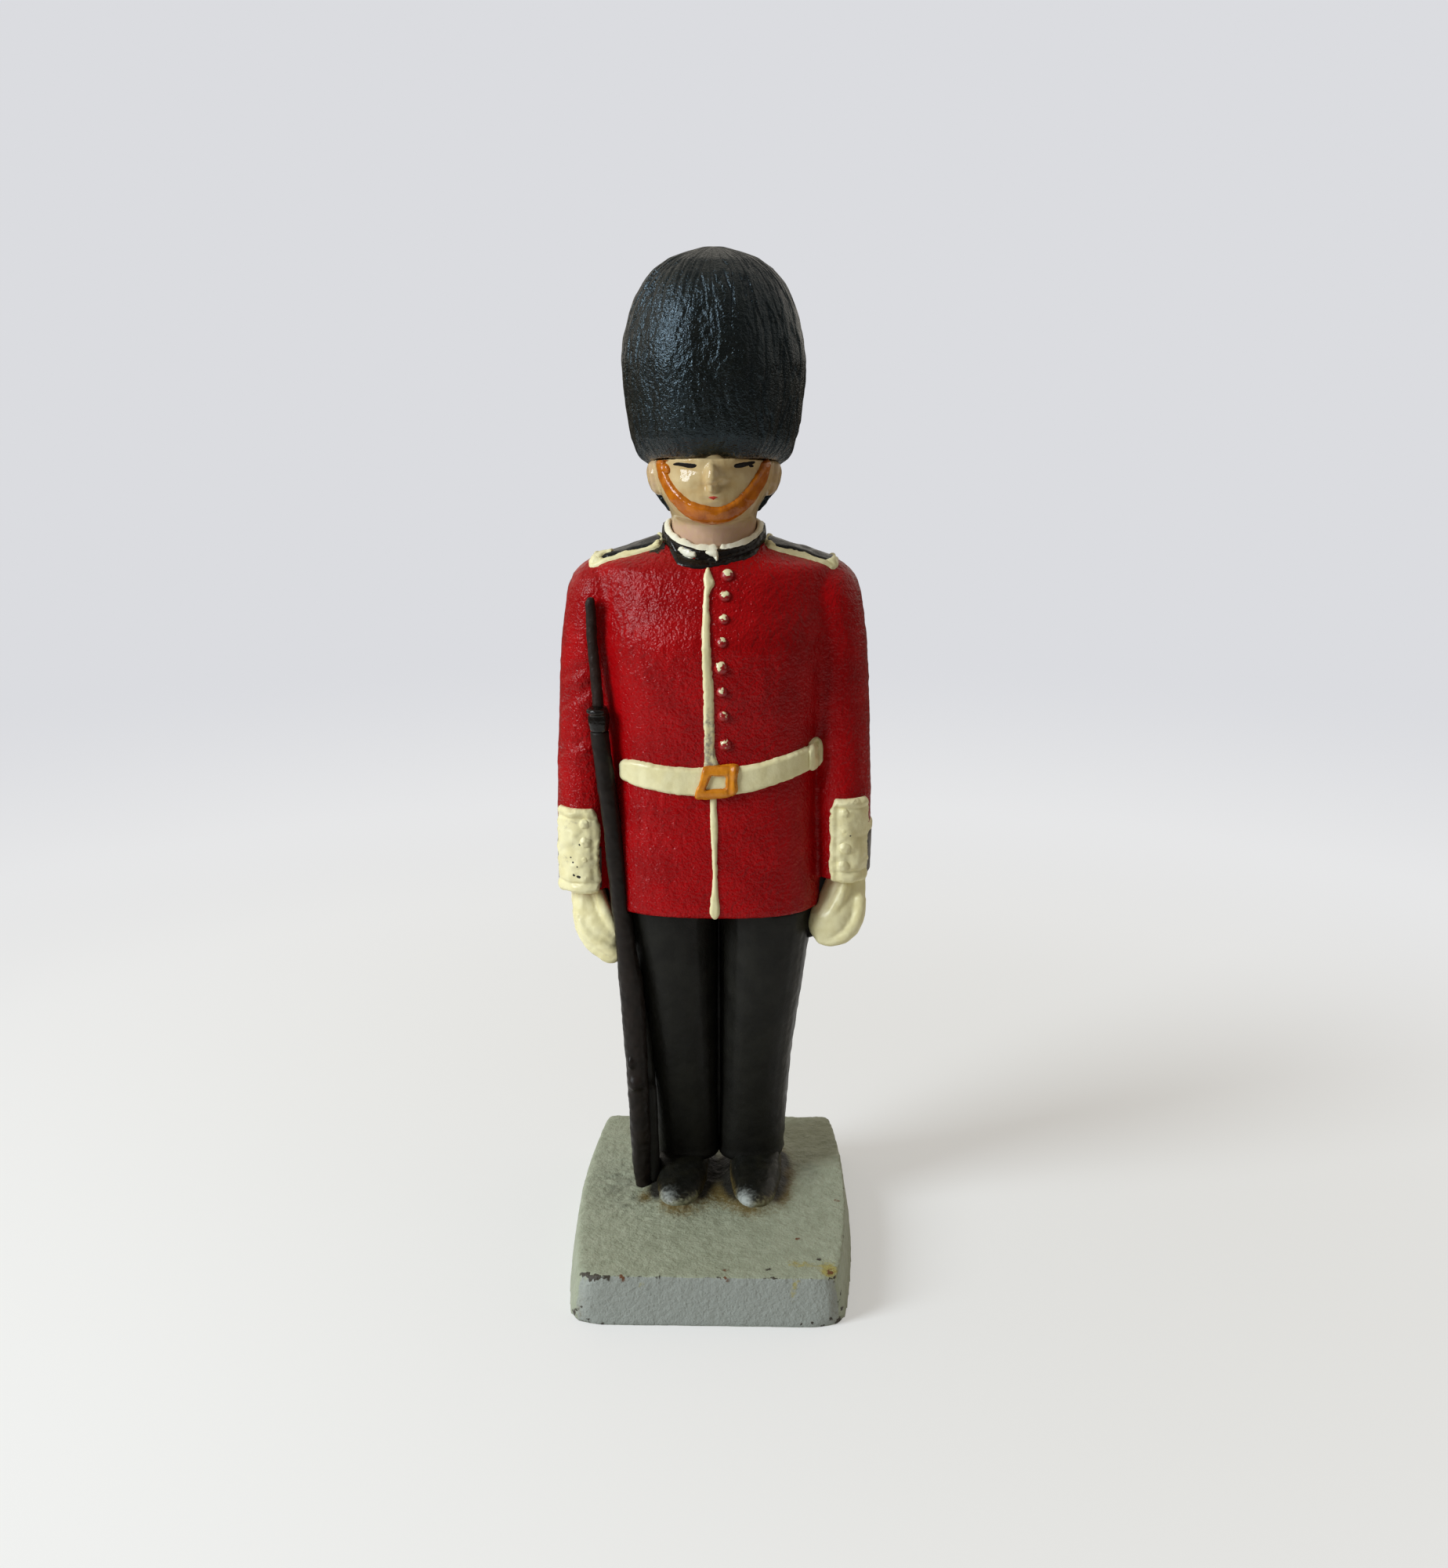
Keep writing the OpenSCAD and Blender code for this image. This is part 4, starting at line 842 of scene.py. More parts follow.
def evened(sheet, rounds, closed):
    """A sheet of points with its small unevenness averaged away."""
    for _ in range(rounds):
        before, after = np.roll(sheet, 1, 0), np.roll(sheet, -1, 0)
        if not closed:
            before[0], after[-1] = sheet[0], sheet[-1]
        sheet = (before + 2 * sheet + after) / 4
        padded = np.concatenate([sheet[:, :1], sheet, sheet[:, -1:]], 1)
        sheet = (padded[:, :-2] + 2 * sheet + padded[:, 2:]) / 4
    return sheet


def shell(top, low, closed):
    """A closed skin between two sheets of points."""
    rows, columns = top.shape[:2]
    under = rows * columns
    faces = []
    for i in range(rows if closed else rows - 1):
        j = (i + 1) % rows
        for k in range(columns - 1):
            square = [i * columns + k, j * columns + k, j * columns + k + 1, i * columns + k + 1]
            faces += [square, [under + corner for corner in reversed(square)]]
        for k in (0, columns - 1):
            faces.append([i * columns + k, under + i * columns + k, under + j * columns + k, j * columns + k])
    if not closed:
        for i in (0, rows - 1):
            for k in range(i * columns, (i + 1) * columns - 1):
                faces.append([k, k + 1, under + k + 1, under + k])
    return outward(mesh_of(np.vstack([top.reshape(-1, 3), low.reshape(-1, 3)]), faces))


print("rays and shells ready")

# %% [markdown]
# ### A stroke of the brush
# A stroke covers what lies between its two edges. Its height grows from nothing at the edge to full a little
# way in, as thick paint draws itself together, and its edge frays with a noise. Relief, such as a groove or a
# fold, is added only where the paint is full.

# %% A stroke of the brush
def brush(bed, aim, edge_a, edge_b, thick, steps, closed=False, ragged=0.1, seed=1, rounded=0.5, relief=None,
          even=2):
    """A band of thick paint between two edges drawn on a plane."""
    rows, columns = steps
    side_a, side_b = curve(edge_a, rows, closed), curve(edge_b, rows, closed)
    wide = np.linalg.norm(side_b - side_a, axis=1)[:, None]
    share = np.linspace(0, 1, columns)[None, :] * (1 + 2 * SPARE / wide) - SPARE / wide
    flat = (side_a[:, None] + (side_b - side_a)[:, None] * share[:, :, None]).reshape(-1, 2)
    found = throw(bed, *aim(flat))
    landed, normals = (evened(sheet.reshape(rows, columns, 3), even, closed) for sheet in found)
    normals /= np.linalg.norm(normals, axis=2)[:, :, None]
    inset = np.minimum(share, 1 - share) * wide
    if not closed:
        middle = (side_a + side_b) / 2
        run = np.concatenate([[0], np.cumsum(np.linalg.norm(np.diff(middle, axis=0), axis=1))])
        ends = np.minimum(run, run[-1] - run)[:, None]
        inset = -np.logaddexp(-4 * inset, -4 * ends) / 4
    points = landed.reshape(-1, 3)
    frayed = grain(points, 0.9, seed) + 0.5 * grain(points, 0.4, seed + 1)
    inset = inset + ragged * frayed.reshape(rows, columns)
    full = np.clip(inset / rounded, 0, 1)
    height = thick * np.sqrt(1 - (1 - full) ** 2) + np.clip(inset, -0.15, 0)
    if relief is not None:
        height = height + full * relief(points).reshape(rows, columns)
    return shell(landed + normals * height[:, :, None], landed - normals * SUNK, closed)


def both_edges(line):
    """The two edges of a stroke given as middle points with half widths, drawn mostly up and down."""
    line = np.array(line, float)
    run = np.gradient(line[:, :2], axis=0)
    across = np.column_stack([-run[:, 1], run[:, 0]]) / np.linalg.norm(run, axis=1)[:, None]
    return line[:, :2] + across * line[:, 2:], line[:, :2] - across * line[:, 2:]


def stroke(bed, line, **how):
    """One stroke of the brush from the front, along a line of middle points with half widths."""
    return brush(bed, from_front, *both_edges(line), **how)


def joined(meshes):
    """Several meshes as one."""
    work = bmesh.new()
    for mesh in meshes:
        work.from_mesh(mesh)
    whole = bpy.data.meshes.new("joined")
    work.to_mesh(whole)
    work.free()
    return whole


def trim(name, mesh, node, finish=cream_paint):
    """Hand over a piece of white trim."""
    piece(name, mesh, finish, "figure", "trim_white", node)


print("brush ready")

# %% [markdown]
# ## Belt, buckle and keeper
# The white belt sits in a dip at the waist, thick at its edges where the paint has gathered. The buckle is a
# lopsided ochre frame. All of them are brushed straight on to the coat from the front or the back, so they
# follow its swell exactly.

# %% Belt
BELT_TOP = [(-18.3, 102.5), (-17.5, 103.7), (-14, 103.9), (-8, 103.4), (-3, 103.3), (3, 103.5), (9, 104.2),
            (14, 105.4), (18, 106.3), (20.3, 106.6)]
BELT_LOW = [(-18.3, 100.8), (-17.5, 99.5), (-14, 98.6), (-8, 97.9), (-3, 97.5), (3, 97.7), (9, 98.7),
            (14, 100.0), (18, 101.1), (20.3, 101.7)]
KEEPER_TOP = [(19.0, 107.0), (20.0, 107.6), (21.2, 107.4), (22.0, 106.2)]
KEEPER_LOW = [(19.0, 101.8), (20.0, 101.4), (21.2, 101.6), (22.0, 102.6)]
BUCKLE_OUT = [(-1.2, 103.9), (2, 104.0), (5.1, 103.9), (5.0, 101.2), (4.8, 98.4), (0.8, 97.5), (-3.2, 97.4),
              (-2.3, 100.8)]
BUCKLE_IN = [(0.0, 101.9), (1.3, 101.9), (2.7, 101.8), (2.7, 100.6), (2.6, 99.5), (0.8, 99.35), (-1.1, 99.2),
             (-0.6, 100.6)]


def belt_folds(points):
    return 0.12 * grain(points * [1, 1, 0.2], 2.6, 51)


def keeper_groove(points):
    return -0.55 * along(points, (20.3, 0, 108), (20.3, 0, 104.6), (0.35, 60, 0.6))


def buckle_ridges(points):
    ridge = along(points, (4.55, 0, 103.6), (4.3, 0, 99), (0.45, 60, 0.6))
    groove = along(points, (3.6, 0, 103.4), (3.4, 0, 99), (0.35, 60, 0.6))
    return 0.22 * ridge - 0.16 * groove + 0.1 * grain(points, 1.4, 58)


band = {"thick": 1.0, "ragged": 0.12, "rounded": 0.9, "relief": belt_folds, "even": 5}
belt = brush(coat_bed, from_front, BELT_TOP, BELT_LOW, steps=(230, 40), seed=52, **band)
# Its grooves are marked for painted shade.
mark_shaded_hollows(belt, rounds=10, deep=0.5)
belt_bed = bed_of(tunic, belt)
trim("belt_front_band", belt, "belt_front")

back_low, back_high = span("belt_back")
back_end = back_high[0] - 1.5
back_edges = [[(x, z) for x in (-back_end, -8, 8, back_end)] for z in (back_high[2], back_low[2])]
belt_behind = brush(coat_bed, from_back, *back_edges, steps=(200, 30), seed=54, **band)
# Its grooves are marked for painted shade.
mark_shaded_hollows(belt_behind, rounds=10, deep=0.5)
trim("belt_back_band", belt_behind, "belt_back")

keeper = brush(belt_bed, from_front, KEEPER_TOP, KEEPER_LOW, thick=0.75, steps=(50, 50), ragged=0.12, seed=56,
               rounded=0.8, relief=keeper_groove, even=6)
# Its grooves are marked for painted shade.
mark_shaded_hollows(keeper, rounds=8, deep=0.4)
trim("belt_keeper_tab", keeper, "belt_keeper")

buckle = brush(belt_bed, from_front, BUCKLE_OUT, BUCKLE_IN, thick=0.75, steps=(180, 22), closed=True, seed=57,
               rounded=0.55, relief=buckle_ridges, even=4)
# Its grooves are marked for painted shade.
mark_shaded_hollows(buckle, rounds=8, deep=0.3)
piece("belt_buckle_frame", buckle, buckle_paint, "figure", "trim_ochre", "belt_buckle")

# %% [markdown]
# ## Piping down the front
# A white line marks the lap of the coat. It was drawn freehand, so it swells and narrows, starts in a point
# under the collar and ends in a blob at the hem. A swept profile would be too even: the stroke is given as a
# few middle points with half widths instead.

# %% Piping
PIPING_UPPER = [(-0.85, 142.3, 0.3), (-0.85, 140.8, 0.75), (-0.5, 139.2, 0.95), (-1.0, 137.2, 0.5),
                (-1.05, 131.6, 0.72), (-0.9, 125, 0.86), (-0.6, 119.5, 0.95), (-0.5, 112, 0.98),
                (-0.4, 107, 0.95), (-0.2, 104.6, 1.25), (0.0, 103.4, 1.7)]
PIPING_LOWER = [(0.3, 97.6, 0.6), (0.3, 95.5, 0.62), (0.45, 91, 0.72), (0.5, 87, 0.5), (0.6, 82.5, 0.45),
                (0.6, 79, 0.5), (0.55, 75.5, 0.85), (0.55, 73.4, 0.95), (0.55, 72.1, 0.6)]
upper = stroke(coat_bed, PIPING_UPPER, thick=0.5, steps=(260, 14), seed=61, rounded=0.6)
line = spots(upper)
mark(upper, "dirt_and_shade", 0.62 * fall(line[:, 2], 112, 121) * (0.7 + 0.4 * grain(line, 1.2, 62)))
trim("front_piping_stroke_upper", upper, "front_piping_upper")
lower = stroke(coat_bed, PIPING_LOWER, thick=0.5, steps=(180, 14), ragged=0.08, seed=63, rounded=0.6)
trim("front_piping_stroke_lower", lower, "front_piping_lower")

# %% [markdown]
# ## Buttons
# Eight cast buttons stand beside the piping, red like the coat, each with a careless dab of white on top.
# They repeat, so Geometry Nodes place them: one small dome, set on every point, turned to face out from the
# coat, with its own size and turn from a fixed seed. A number kept on the dome tells the paint how high it
# is, and the paint puts white only near the top.

# %% Recipes
HALF = (0.5, 0.5, 0.5)      # the middle of a colour noise
FULL_TURN = 6.28      # in radians


class Recipe(Bench):
    """A geometry node tree being written, with named inputs that a modifier can set."""

    def __init__(self, name, inputs):
        super().__init__(bpy.data.node_groups.new(name, "GeometryNodeTree"))
        sides = self.tree.interface
        for way in ("INPUT", "OUTPUT"):
            sides.new_socket("Geometry", in_out=way, socket_type="NodeSocketGeometry")
        kinds = {float: "NodeSocketFloat", int: "NodeSocketInt"}
        self.inputs = {}
        for label, start in inputs.items():
            self.inputs[label] = sides.new_socket(label, in_out="INPUT", socket_type=kinds[type(start)])
            self.inputs[label].default_value = start
        self.given = self.add("NodeGroupInput")

    def carried(self, name, kind):
        """What every point of the mesh carries under a name."""
        return self.add("GeometryNodeInputNamedAttribute", {"Name": name}, data_type=kind)["Attribute"]

    def noted(self, mesh, name, value):
        feeds = {"Geometry": mesh, "Name": name, "Value": value}
        return self.add("GeometryNodeStoreNamedAttribute", feeds)[0]

    def moved(self, mesh, offset):
        return self.add("GeometryNodeSetPosition", {"Geometry": mesh, "Offset": offset})[0]

    def chance(self, low, high):
        feeds = {2: low, 3: high, "Seed": self.given["Seed"]}
        return self.add("FunctionNodeRandomValue", feeds, data_type="FLOAT")[1]

    def serve(self, mesh, finish):
        """The end of a recipe: real faces with their paint."""
        whole = self.add("GeometryNodeRealizeInstances", {"Geometry": mesh})[0]
        whole = self.add("GeometryNodeSetMaterial", {"Geometry": whole, "Material": finish})[0]
        self.add("NodeGroupOutput", {0: whole})

    def run(self, mesh, values):
        """Run the recipe on a mesh, with its inputs set by their identifiers."""
        work = workpiece(self.tree.name, mesh)
        step = work.modifiers.new(self.tree.name, "NODES")
        step.node_group = self.tree
        for label, value in values.items():
            step[self.inputs[label].identifier] = value
        return bake(work)


print("recipes ready")

# %% [markdown]
# ### Studs
# A dome is lumpy like a cast button, flattened, and turned by chance round its own axis, so that no two look
# alike. The buttons' paint reads how high a point lies on its dome and above the button's middle, so the dab
# sits on the upper side.

# %% Studs
def stud_recipe(name, finish):
    """Domes on points, each turned to the point's own facing."""
    recipe = Recipe(name, {"Size": 1.0, "Flatness": 0.7, "Unevenness": 0.15, "Seed": 1})
    given = recipe.given
    dome = recipe.add("GeometryNodeMeshUVSphere", {"Segments": 24, "Rings": 14, "Radius": 1.0})["Mesh"]
    height = recipe.add("ShaderNodeSeparateXYZ", {0: recipe.add("GeometryNodeInputPosition")[0]})[2]
    dome = recipe.noted(dome, "crown", height)
    lumps = recipe.add("ShaderNodeTexNoise", {"Scale": 1.4, "Detail": 1.0})[1]
    lumps = recipe.scaled(recipe.vector("SUBTRACT", lumps, HALF), given["Unevenness"])
    dome = recipe.moved(dome, lumps)
    flat = recipe.add("ShaderNodeCombineXYZ", {0: 1.0, 1: 1.0, 2: given["Flatness"]})[0]
    dome = recipe.add("GeometryNodeTransform", {"Geometry": dome, "Scale": flat})[0]
    out = recipe.carried("facing", "FLOAT_VECTOR")
    turn = recipe.add("FunctionNodeAlignRotationToVector", {"Vector": out}, axis="Z")[0]
    least, most = (recipe.sums("MULTIPLY", given["Size"], recipe.sums(sign, 1.0, given["Unevenness"]))
                   for sign in ("SUBTRACT", "ADD"))
    size = recipe.chance(least, most)
    feeds = {"Points": given["Geometry"], "Instance": dome, "Rotation": turn, "Scale": size}
    studs = recipe.add("GeometryNodeInstanceOnPoints", feeds)[0]
    spin = recipe.add("ShaderNodeCombineXYZ", {2: recipe.chance(0.0, FULL_TURN)})[0]
    studs = recipe.add("GeometryNodeRotateInstances", {"Instances": studs, "Rotation": spin})[0]
    recipe.serve(studs, finish)
    return recipe


def stud_points(bed, aim, flat, sunk):
    """Points on a surface for studs, each with its facing, sunk a little."""
    landed, ways = throw(bed, *aim(np.array(flat, float)))
    mesh = mesh_of(landed - ways * sunk, [])
    for name, values in (("facing", ways), ("middle", landed * MM)):
        layer = mesh.attributes.new(name, "FLOAT_VECTOR", "POINT")
        layer.data.foreach_set("vector", values.astype(np.float32).ravel())
    return mesh


def dabbed(name, under, over):
    """Paint for a stud: its own colour below, and a careless dab on top that leaves the lower side bare."""
    paint = Finish(name)
    ragged = paint.ramp(paint.grain(0.9), *NOISE_WIDE, (-0.4, 0.4))
    middle = paint.add("ShaderNodeAttribute", attribute_name="middle")["Vector"]
    above = paint.add("ShaderNodeSeparateXYZ", {0: paint.vector("SUBTRACT", paint.where, middle)})[2]
    crown = paint.sums("ADD", paint.mark("crown"), ragged)
    share = paint.ramp(paint.sums("ADD", crown, paint.sums("MULTIPLY", above, 0.5 / MM)), 0.98, 1.06)
    uneven = paint.ramp(paint.grain(2), *NOISE_MOST, (0.22, 0.4))
    paint.shade({"Base Color": paint.mix(share, under, over), "Roughness": uneven})
    paint.bump([(share, 0.06), (paint.grain(0.6), 0.04)])
    return paint.material


print("studs ready")

# %% [markdown]
# ### Tunic buttons
# The eight stand in a wavering row. They are one node of the part, so one run of the recipe on eight points
# makes them all, each sunk a little into the coat.

# %% Tunic buttons
BUTTONS = [(2.9, 140.8), (2.5, 137.1), (2.3, 132.8), (2.0, 128.7), (1.85, 123.7), (2.0, 118.9), (2.3, 114.0),
           (2.6, 108.1)]
button_recipe = stud_recipe("button_studs", dabbed("button_paint", tone(152, 10, 16), CREAM))
buttons = button_recipe.run(stud_points(coat_bed, from_front, BUTTONS, 0.1),
                            {"Size": 1.25 * MM, "Flatness": 0.85, "Unevenness": 0.12, "Seed": 7})
piece("tunic_button_studs", buttons, None, "figure", "trim_white", "tunic_buttons")

# %% [markdown]
# ## Collar, lining and badge
# The black collar is a glossy upright band. A white lining is turned over its top edge, thick and ragged, and
# runs down in a point at the front. The collar is clay from its solid, and its foot is brushed out on to the
# coat, because a clean edge there would look like a separate ring.

# %% Collar
COLLAR_FOOT = [(-9.4, 146.2), (-8.2, 144.4), (-6.4, 142.5), (-2.6, 142.0), (0.9, 142.4), (4.0, 142.9),
               (8.0, 144.0), (9.8, 146.2)]
COLLAR_RIM = 148.9      # height of the rim at the sides
RIM_FRONT = math.tan(math.radians(20))      # how steeply it falls to the front
RIM_BACK = math.tan(math.radians(4))      # how steeply it rises behind
LINING_DROP = [(-180, 0.6), (-90, 0.7), (-60, 1.2), (-35, 1.8), (-14, 1.7), (0, 1.0), (9, 0.1), (40, 0.0),
               (90, 0.2), (180, 0.6)]      # degrees round from the front, and how far the lining hangs
LINING_DRIP = [(-4.4, 146.9, 0.5), (-2.8, 146.3, 0.8), (-1.0, 145.7, 1.0), (0.1, 145.0, 0.9),
               (0.7, 144.2, 0.5), (0.9, 143.2, 0.2)]
BADGE_TOP = [(-6.9, 145.5), (-6.0, 145.6), (-4.6, 145.2), (-3.0, 144.9)]
BADGE_LOW = [(-6.6, 144.6), (-5.9, 144.3), (-4.4, 143.7), (-3.1, 143.8)]

collar = clay([solid_of("collar")], voxel=0.28, rounds=4)
push(collar, 0.1 * grain(spots(collar), 3, 71) + 0.04 * sand(spots(collar), 72))
foot_top = [(0.94 * x, z + 1.6) for x, z in COLLAR_FOOT]
foot = brush(bed_of(tunic, collar), from_front, foot_top, COLLAR_FOOT, thick=0.3, steps=(160, 20),
             ragged=0.12, seed=70, rounded=0.6, even=4)
collar = joined([collar, foot])
collar_bed = bed_of(tunic, collar)
piece("collar_band", collar, black_gloss, "figure", "trim_black", "collar")

# %% [markdown]
# ### Lining and badge
# A bent tube would give a lining of one width. This one is a ring whose section goes up inside the collar,
# over its edge and down outside. How far it hangs comes from a short table round the neck, roughened by a
# noise. A drip at the front and the dab of the badge are brushed on to the collar.

# %% Lining and badge
def lining_ring(count=360):
    """The lining: up inside the collar, over its edge, and down outside."""
    turns = np.linspace(-np.pi, np.pi, count, endpoint=False)
    ring_at = np.column_stack([10 * np.sin(turns), -10 * np.cos(turns), np.zeros(count)])
    wobble = 0.34 * grain(ring_at, 1.9, 73) + 0.3 * grain(ring_at, 0.9, 74)
    degrees = np.degrees(turns)
    drop = np.interp(degrees, *zip(*LINING_DROP)) + wobble
    notch = 0.9 * hump(degrees, 8, 2.2)
    rings = []
    for turn, fallen, bite, rough in zip(turns, drop, notch, wobble):
        forward = math.cos(turn)
        top = COLLAR_RIM - 9.5 * forward * (RIM_FRONT if forward > 0 else RIM_BACK)
        lean = 0.16 * fallen
        inside = [(8.6, top - 1.6), (8.6, top + 0.1)]
        over = [(8.7, top + 0.6 - bite + 0.7 * rough), (9.1, top + 0.7 - bite + 0.6 * rough),
                (9.6, top + 0.35 - bite + 0.3 * rough), (9.9 + 0.3 * lean, top - 0.15)]
        outside = [(10.05 + lean, top - 0.5 * fallen), (9.95 + lean, top - fallen),
                   (9.6, top - fallen - 0.05), (9.45, top - 0.9 * fallen), (9.4, top - 1.6)]
        rings.append([(r * math.sin(turn), axis_y - r * forward, z) for r, z in inside + over + outside])
    return np.array(rings)


def woven(grid):
    """A closed mesh from a grid that wraps both ways."""
    rows, columns = grid.shape[:2]
    faces = []
    for i in range(rows):
        here, beyond = i * columns, (i + 1) % rows * columns
        for k in range(columns):
            after = (k + 1) % columns
            faces.append([here + k, beyond + k, beyond + after, here + after])
    return outward(mesh_of(grid.reshape(-1, 3), faces))


lining_work = workpiece("lining", woven(lining_ring()))
rounder = lining_work.modifiers.new("rounder", "SUBSURF")
rounder.levels = rounder.render_levels = 1
lining = bake(lining_work)
push(lining, 0.06 * sand(spots(lining), 75))
drip = stroke(collar_bed, LINING_DRIP, thick=0.45, steps=(70, 18), ragged=0.12, seed=77, rounded=0.5, even=4)
trim("collar_lining_fold", joined([lining, drip]), "collar_lining", lining_paint)

badge = brush(collar_bed, from_front, BADGE_TOP, BADGE_LOW, thick=0.45, steps=(60, 24), ragged=0.2, seed=76,
              rounded=0.4, even=4)
trim("collar_badge_dab", badge, "collar_badge", lining_paint)

# %% [markdown]
# ## Shoulder straps
# Black straps lie over the shoulders inside a cream line that the painter drew as one loop, with a curl at
# the outer end. They are brushed from above, the strap first and its line on top.

# %% Shoulder straps
LOOP_WIDE = (0.9, 1.5, 1.5, 1.6, 1.3, 0.9, 0.9, 0.8, 0.5, 0.8, 0.8, 0.6)      # of the line, round its loop


def strap(side, seed):
    hand = HAND[side]
    low, high = span(f"{side}_shoulder_strap")
    near_end, far_end = sorted((abs(low[0]), abs(high[0])))
    inner, outer = near_end - 0.4, far_end + 0.6
    xs = np.linspace(inner, outer, 5) * hand
    front_edge, back_edge = ([(x, y) for x in xs] for y in (low[1] - 0.5, high[1] + 0.5))
    patch = brush(coat_bed, from_above, front_edge, back_edge, thick=0.8, steps=(90, 50), ragged=0.15,
                  seed=seed, rounded=0.8, even=4, relief=lambda points: 0.25 * grain(points, 2.4, seed + 1))
    patch_bed = bed_of(tunic, patch)
    piece(f"{side}_strap_patch", patch, strap_black, "figure", "trim_black", f"{side}_shoulder_strap")
    low, high = span(f"{side}_strap_edging")
    front, back = low[1] - 0.5, high[1]
    inner, outer = inner - 0.3, outer + 0.5
    middle, halfway = (inner + outer) / 2, (front + back) / 2
    out_loop = [(inner, front + 1.6), (inner + 1.5, front), (middle, front - 0.3), (outer - 1.6, front),
                (outer, front + 1.5), (outer, halfway), (outer, back - 1.5), (outer - 1.6, back),
                (middle, back + 0.2), (inner + 1.5, back), (inner, back - 1.6), (inner - 0.2, halfway)]
    heart = np.array([middle, halfway])
    in_loop = []
    for spot, wide in zip(out_loop, LOOP_WIDE):
        inward = (heart - spot) / np.linalg.norm(heart - spot)
        on_long_side = abs(spot[1] - heart[1]) > 2
        in_loop.append(np.array(spot) + inward * wide * (1.15 if on_long_side else 1))
    flip = np.array([hand, 1])
    line = [brush(patch_bed, from_above, np.array(out_loop) * flip, np.array(in_loop) * flip, thick=0.5,
                  steps=(240, 14), closed=True, ragged=0.16, seed=seed + 2)]
    if side == "right":
        curl = [(outer - 1.2, front + 1.2, 0.9), (outer - 2.0, front + 2.8, 1.2),
                (outer - 3.4, front + 3.6, 1.3), (outer - 4.6, front + 3.0, 0.8)]
        line.append(brush(patch_bed, from_above, *both_edges(np.array(curl) * [hand, 1, 1]), thick=0.5,
                          steps=(50, 14), ragged=0.16, seed=seed + 4, even=4))
    trim(f"{side}_strap_line", joined(line), f"{side}_strap_edging")


strap("right", 81)
strap("left", 87)

# %% [markdown]
# ## Cuffs
# Each sleeve ends in a dark grey cuff under a white line, and a long white slash covers its front: a plate
# with a rolled top and bottom, small studs along the inner side, and pits where the paint failed to fill the
# sand. The cuff and the line go round the sleeve like a label round a bottle. The slash is brushed from the
# front.

# %% Cuffs and slashes
SLASH = {"right": (-23.0, -31.2, 75.2, 93.1),
         "left": (23.6, 30.9, 78.0, 95.6)}      # inner and outer x, low and top z
CUFF_ARCS = {"right": (-6, 8, 20, 30, 38), "left": (-2, 8, 20, 30, 38)}      # distances round the sleeve
LINE_ARCS = {"right": (21, 26, 30, 34, 38), "left": CUFF_ARCS["left"]}
SLASH_SWAY = (0.3, -0.2, 0.0, 0.1, -0.25, 0.0, 0.9)      # of the inner edge, from low to top
PITS = [(-28.1, 79.2, 0.42), (-27.3, 78.9, 0.42), (-26.9, 78.9, 0.36), (-26.8, 85.6, 0.34),
        (-28.3, 81.8, 0.36), (-28.7, 82.8, 0.36), (-27.4, 81.0, 0.28), (27.3, 81.6, 0.3), (27.6, 88.0, 0.26),
        (26.4, 86.0, 0.26)]


def cuff(side, seed):
    """A cuff, its line and its slash. Returns the places of the studs on the slash."""
    hand = HAND[side]
    inner, outer, slash_low, slash_top = SLASH[side]
    low, high = span(f"{side}_cuff")
    sleeve_x = hand * (abs(inner) + abs(outer)) / 2 - hand * 1.2
    aim = from_round(sleeve_x, (low[1] + high[1]) / 2, 12.0)

    def rolls(points):
        up, down = slash_top - points[:, 2], points[:, 2] - slash_low
        rolled = hump(up, 1.0, 0.55) + hump(down, 1.0, 0.6)
        grooved = hump(up, 2.1, 0.4) + hump(down, 2.2, 0.4)
        welt = hump(hand * points[:, 0] - abs(inner), 1.4, 0.5)
        lumps = 0.34 * grain(points, 1.9, seed + 3) + 0.12 * grain(points, 0.9, seed + 6)
        return 0.28 * rolled - 0.26 * grooved + lumps - 0.16 * welt

    def label(arcs, top, foot, **how):
        edges = [[(arc * hand, z) for arc in arcs] for z in (top, foot)]
        return brush(coat_bed, aim, *edges, even=5, **how)

    band = label(CUFF_ARCS[side], high[2], low[2] + 0.1, thick=0.3, steps=(140, 40), ragged=0.06, seed=seed,
                 rounded=0.4)
    piece(f"{side}_cuff_band", band, cuff_grey, "figure", "trim_black", f"{side}_cuff")
    low, high = span(f"{side}_cuff_piping")
    line = label(LINE_ARCS[side], high[2] + 0.2, low[2] - 0.2, thick=0.45, steps=(140, 14), ragged=0.12,
                 seed=seed + 2, rounded=0.6)
    trim(f"{side}_cuff_line", line, f"{side}_cuff_piping")

    heights = np.linspace(slash_low, slash_top, len(SLASH_SWAY))
    swayed = list(zip(np.array(SLASH_SWAY) * hand, heights))
    plate = brush(coat_bed, from_front, [(inner + shift, z) for shift, z in swayed],
                  [(outer - 0.3 * shift, z) for shift, z in swayed], thick=0.95, steps=(170, 66), ragged=0.2,
                  seed=seed + 4, rounded=0.8, relief=rolls, even=6)
    # The plate's grooves are marked for painted shade.
    mark_shaded_hollows(plate, rounds=8, deep=0.5)
    skin = spots(plate)
    mark(plate, "dirt_and_shade", 0.14 + 0.2 * grain(skin, 2.4, seed + 7))
    mark(plate, "pit", sum(1.1 * near(skin, (x, 0, z), (0.8 * size, 30, 0.8 * size)) for x, z, size in PITS))
    plate_bed = bed_of(plate)
    trim(f"{side}_slash_plate", plate, f"{side}_cuff_slash")
    studs = [(inner + hand * 2.6 + 0.3 * hand * (i % 2), slash_low + 3.6 + 3.7 * i) for i in range(4)]
    return stud_points(plate_bed, from_front, studs, 0.4)


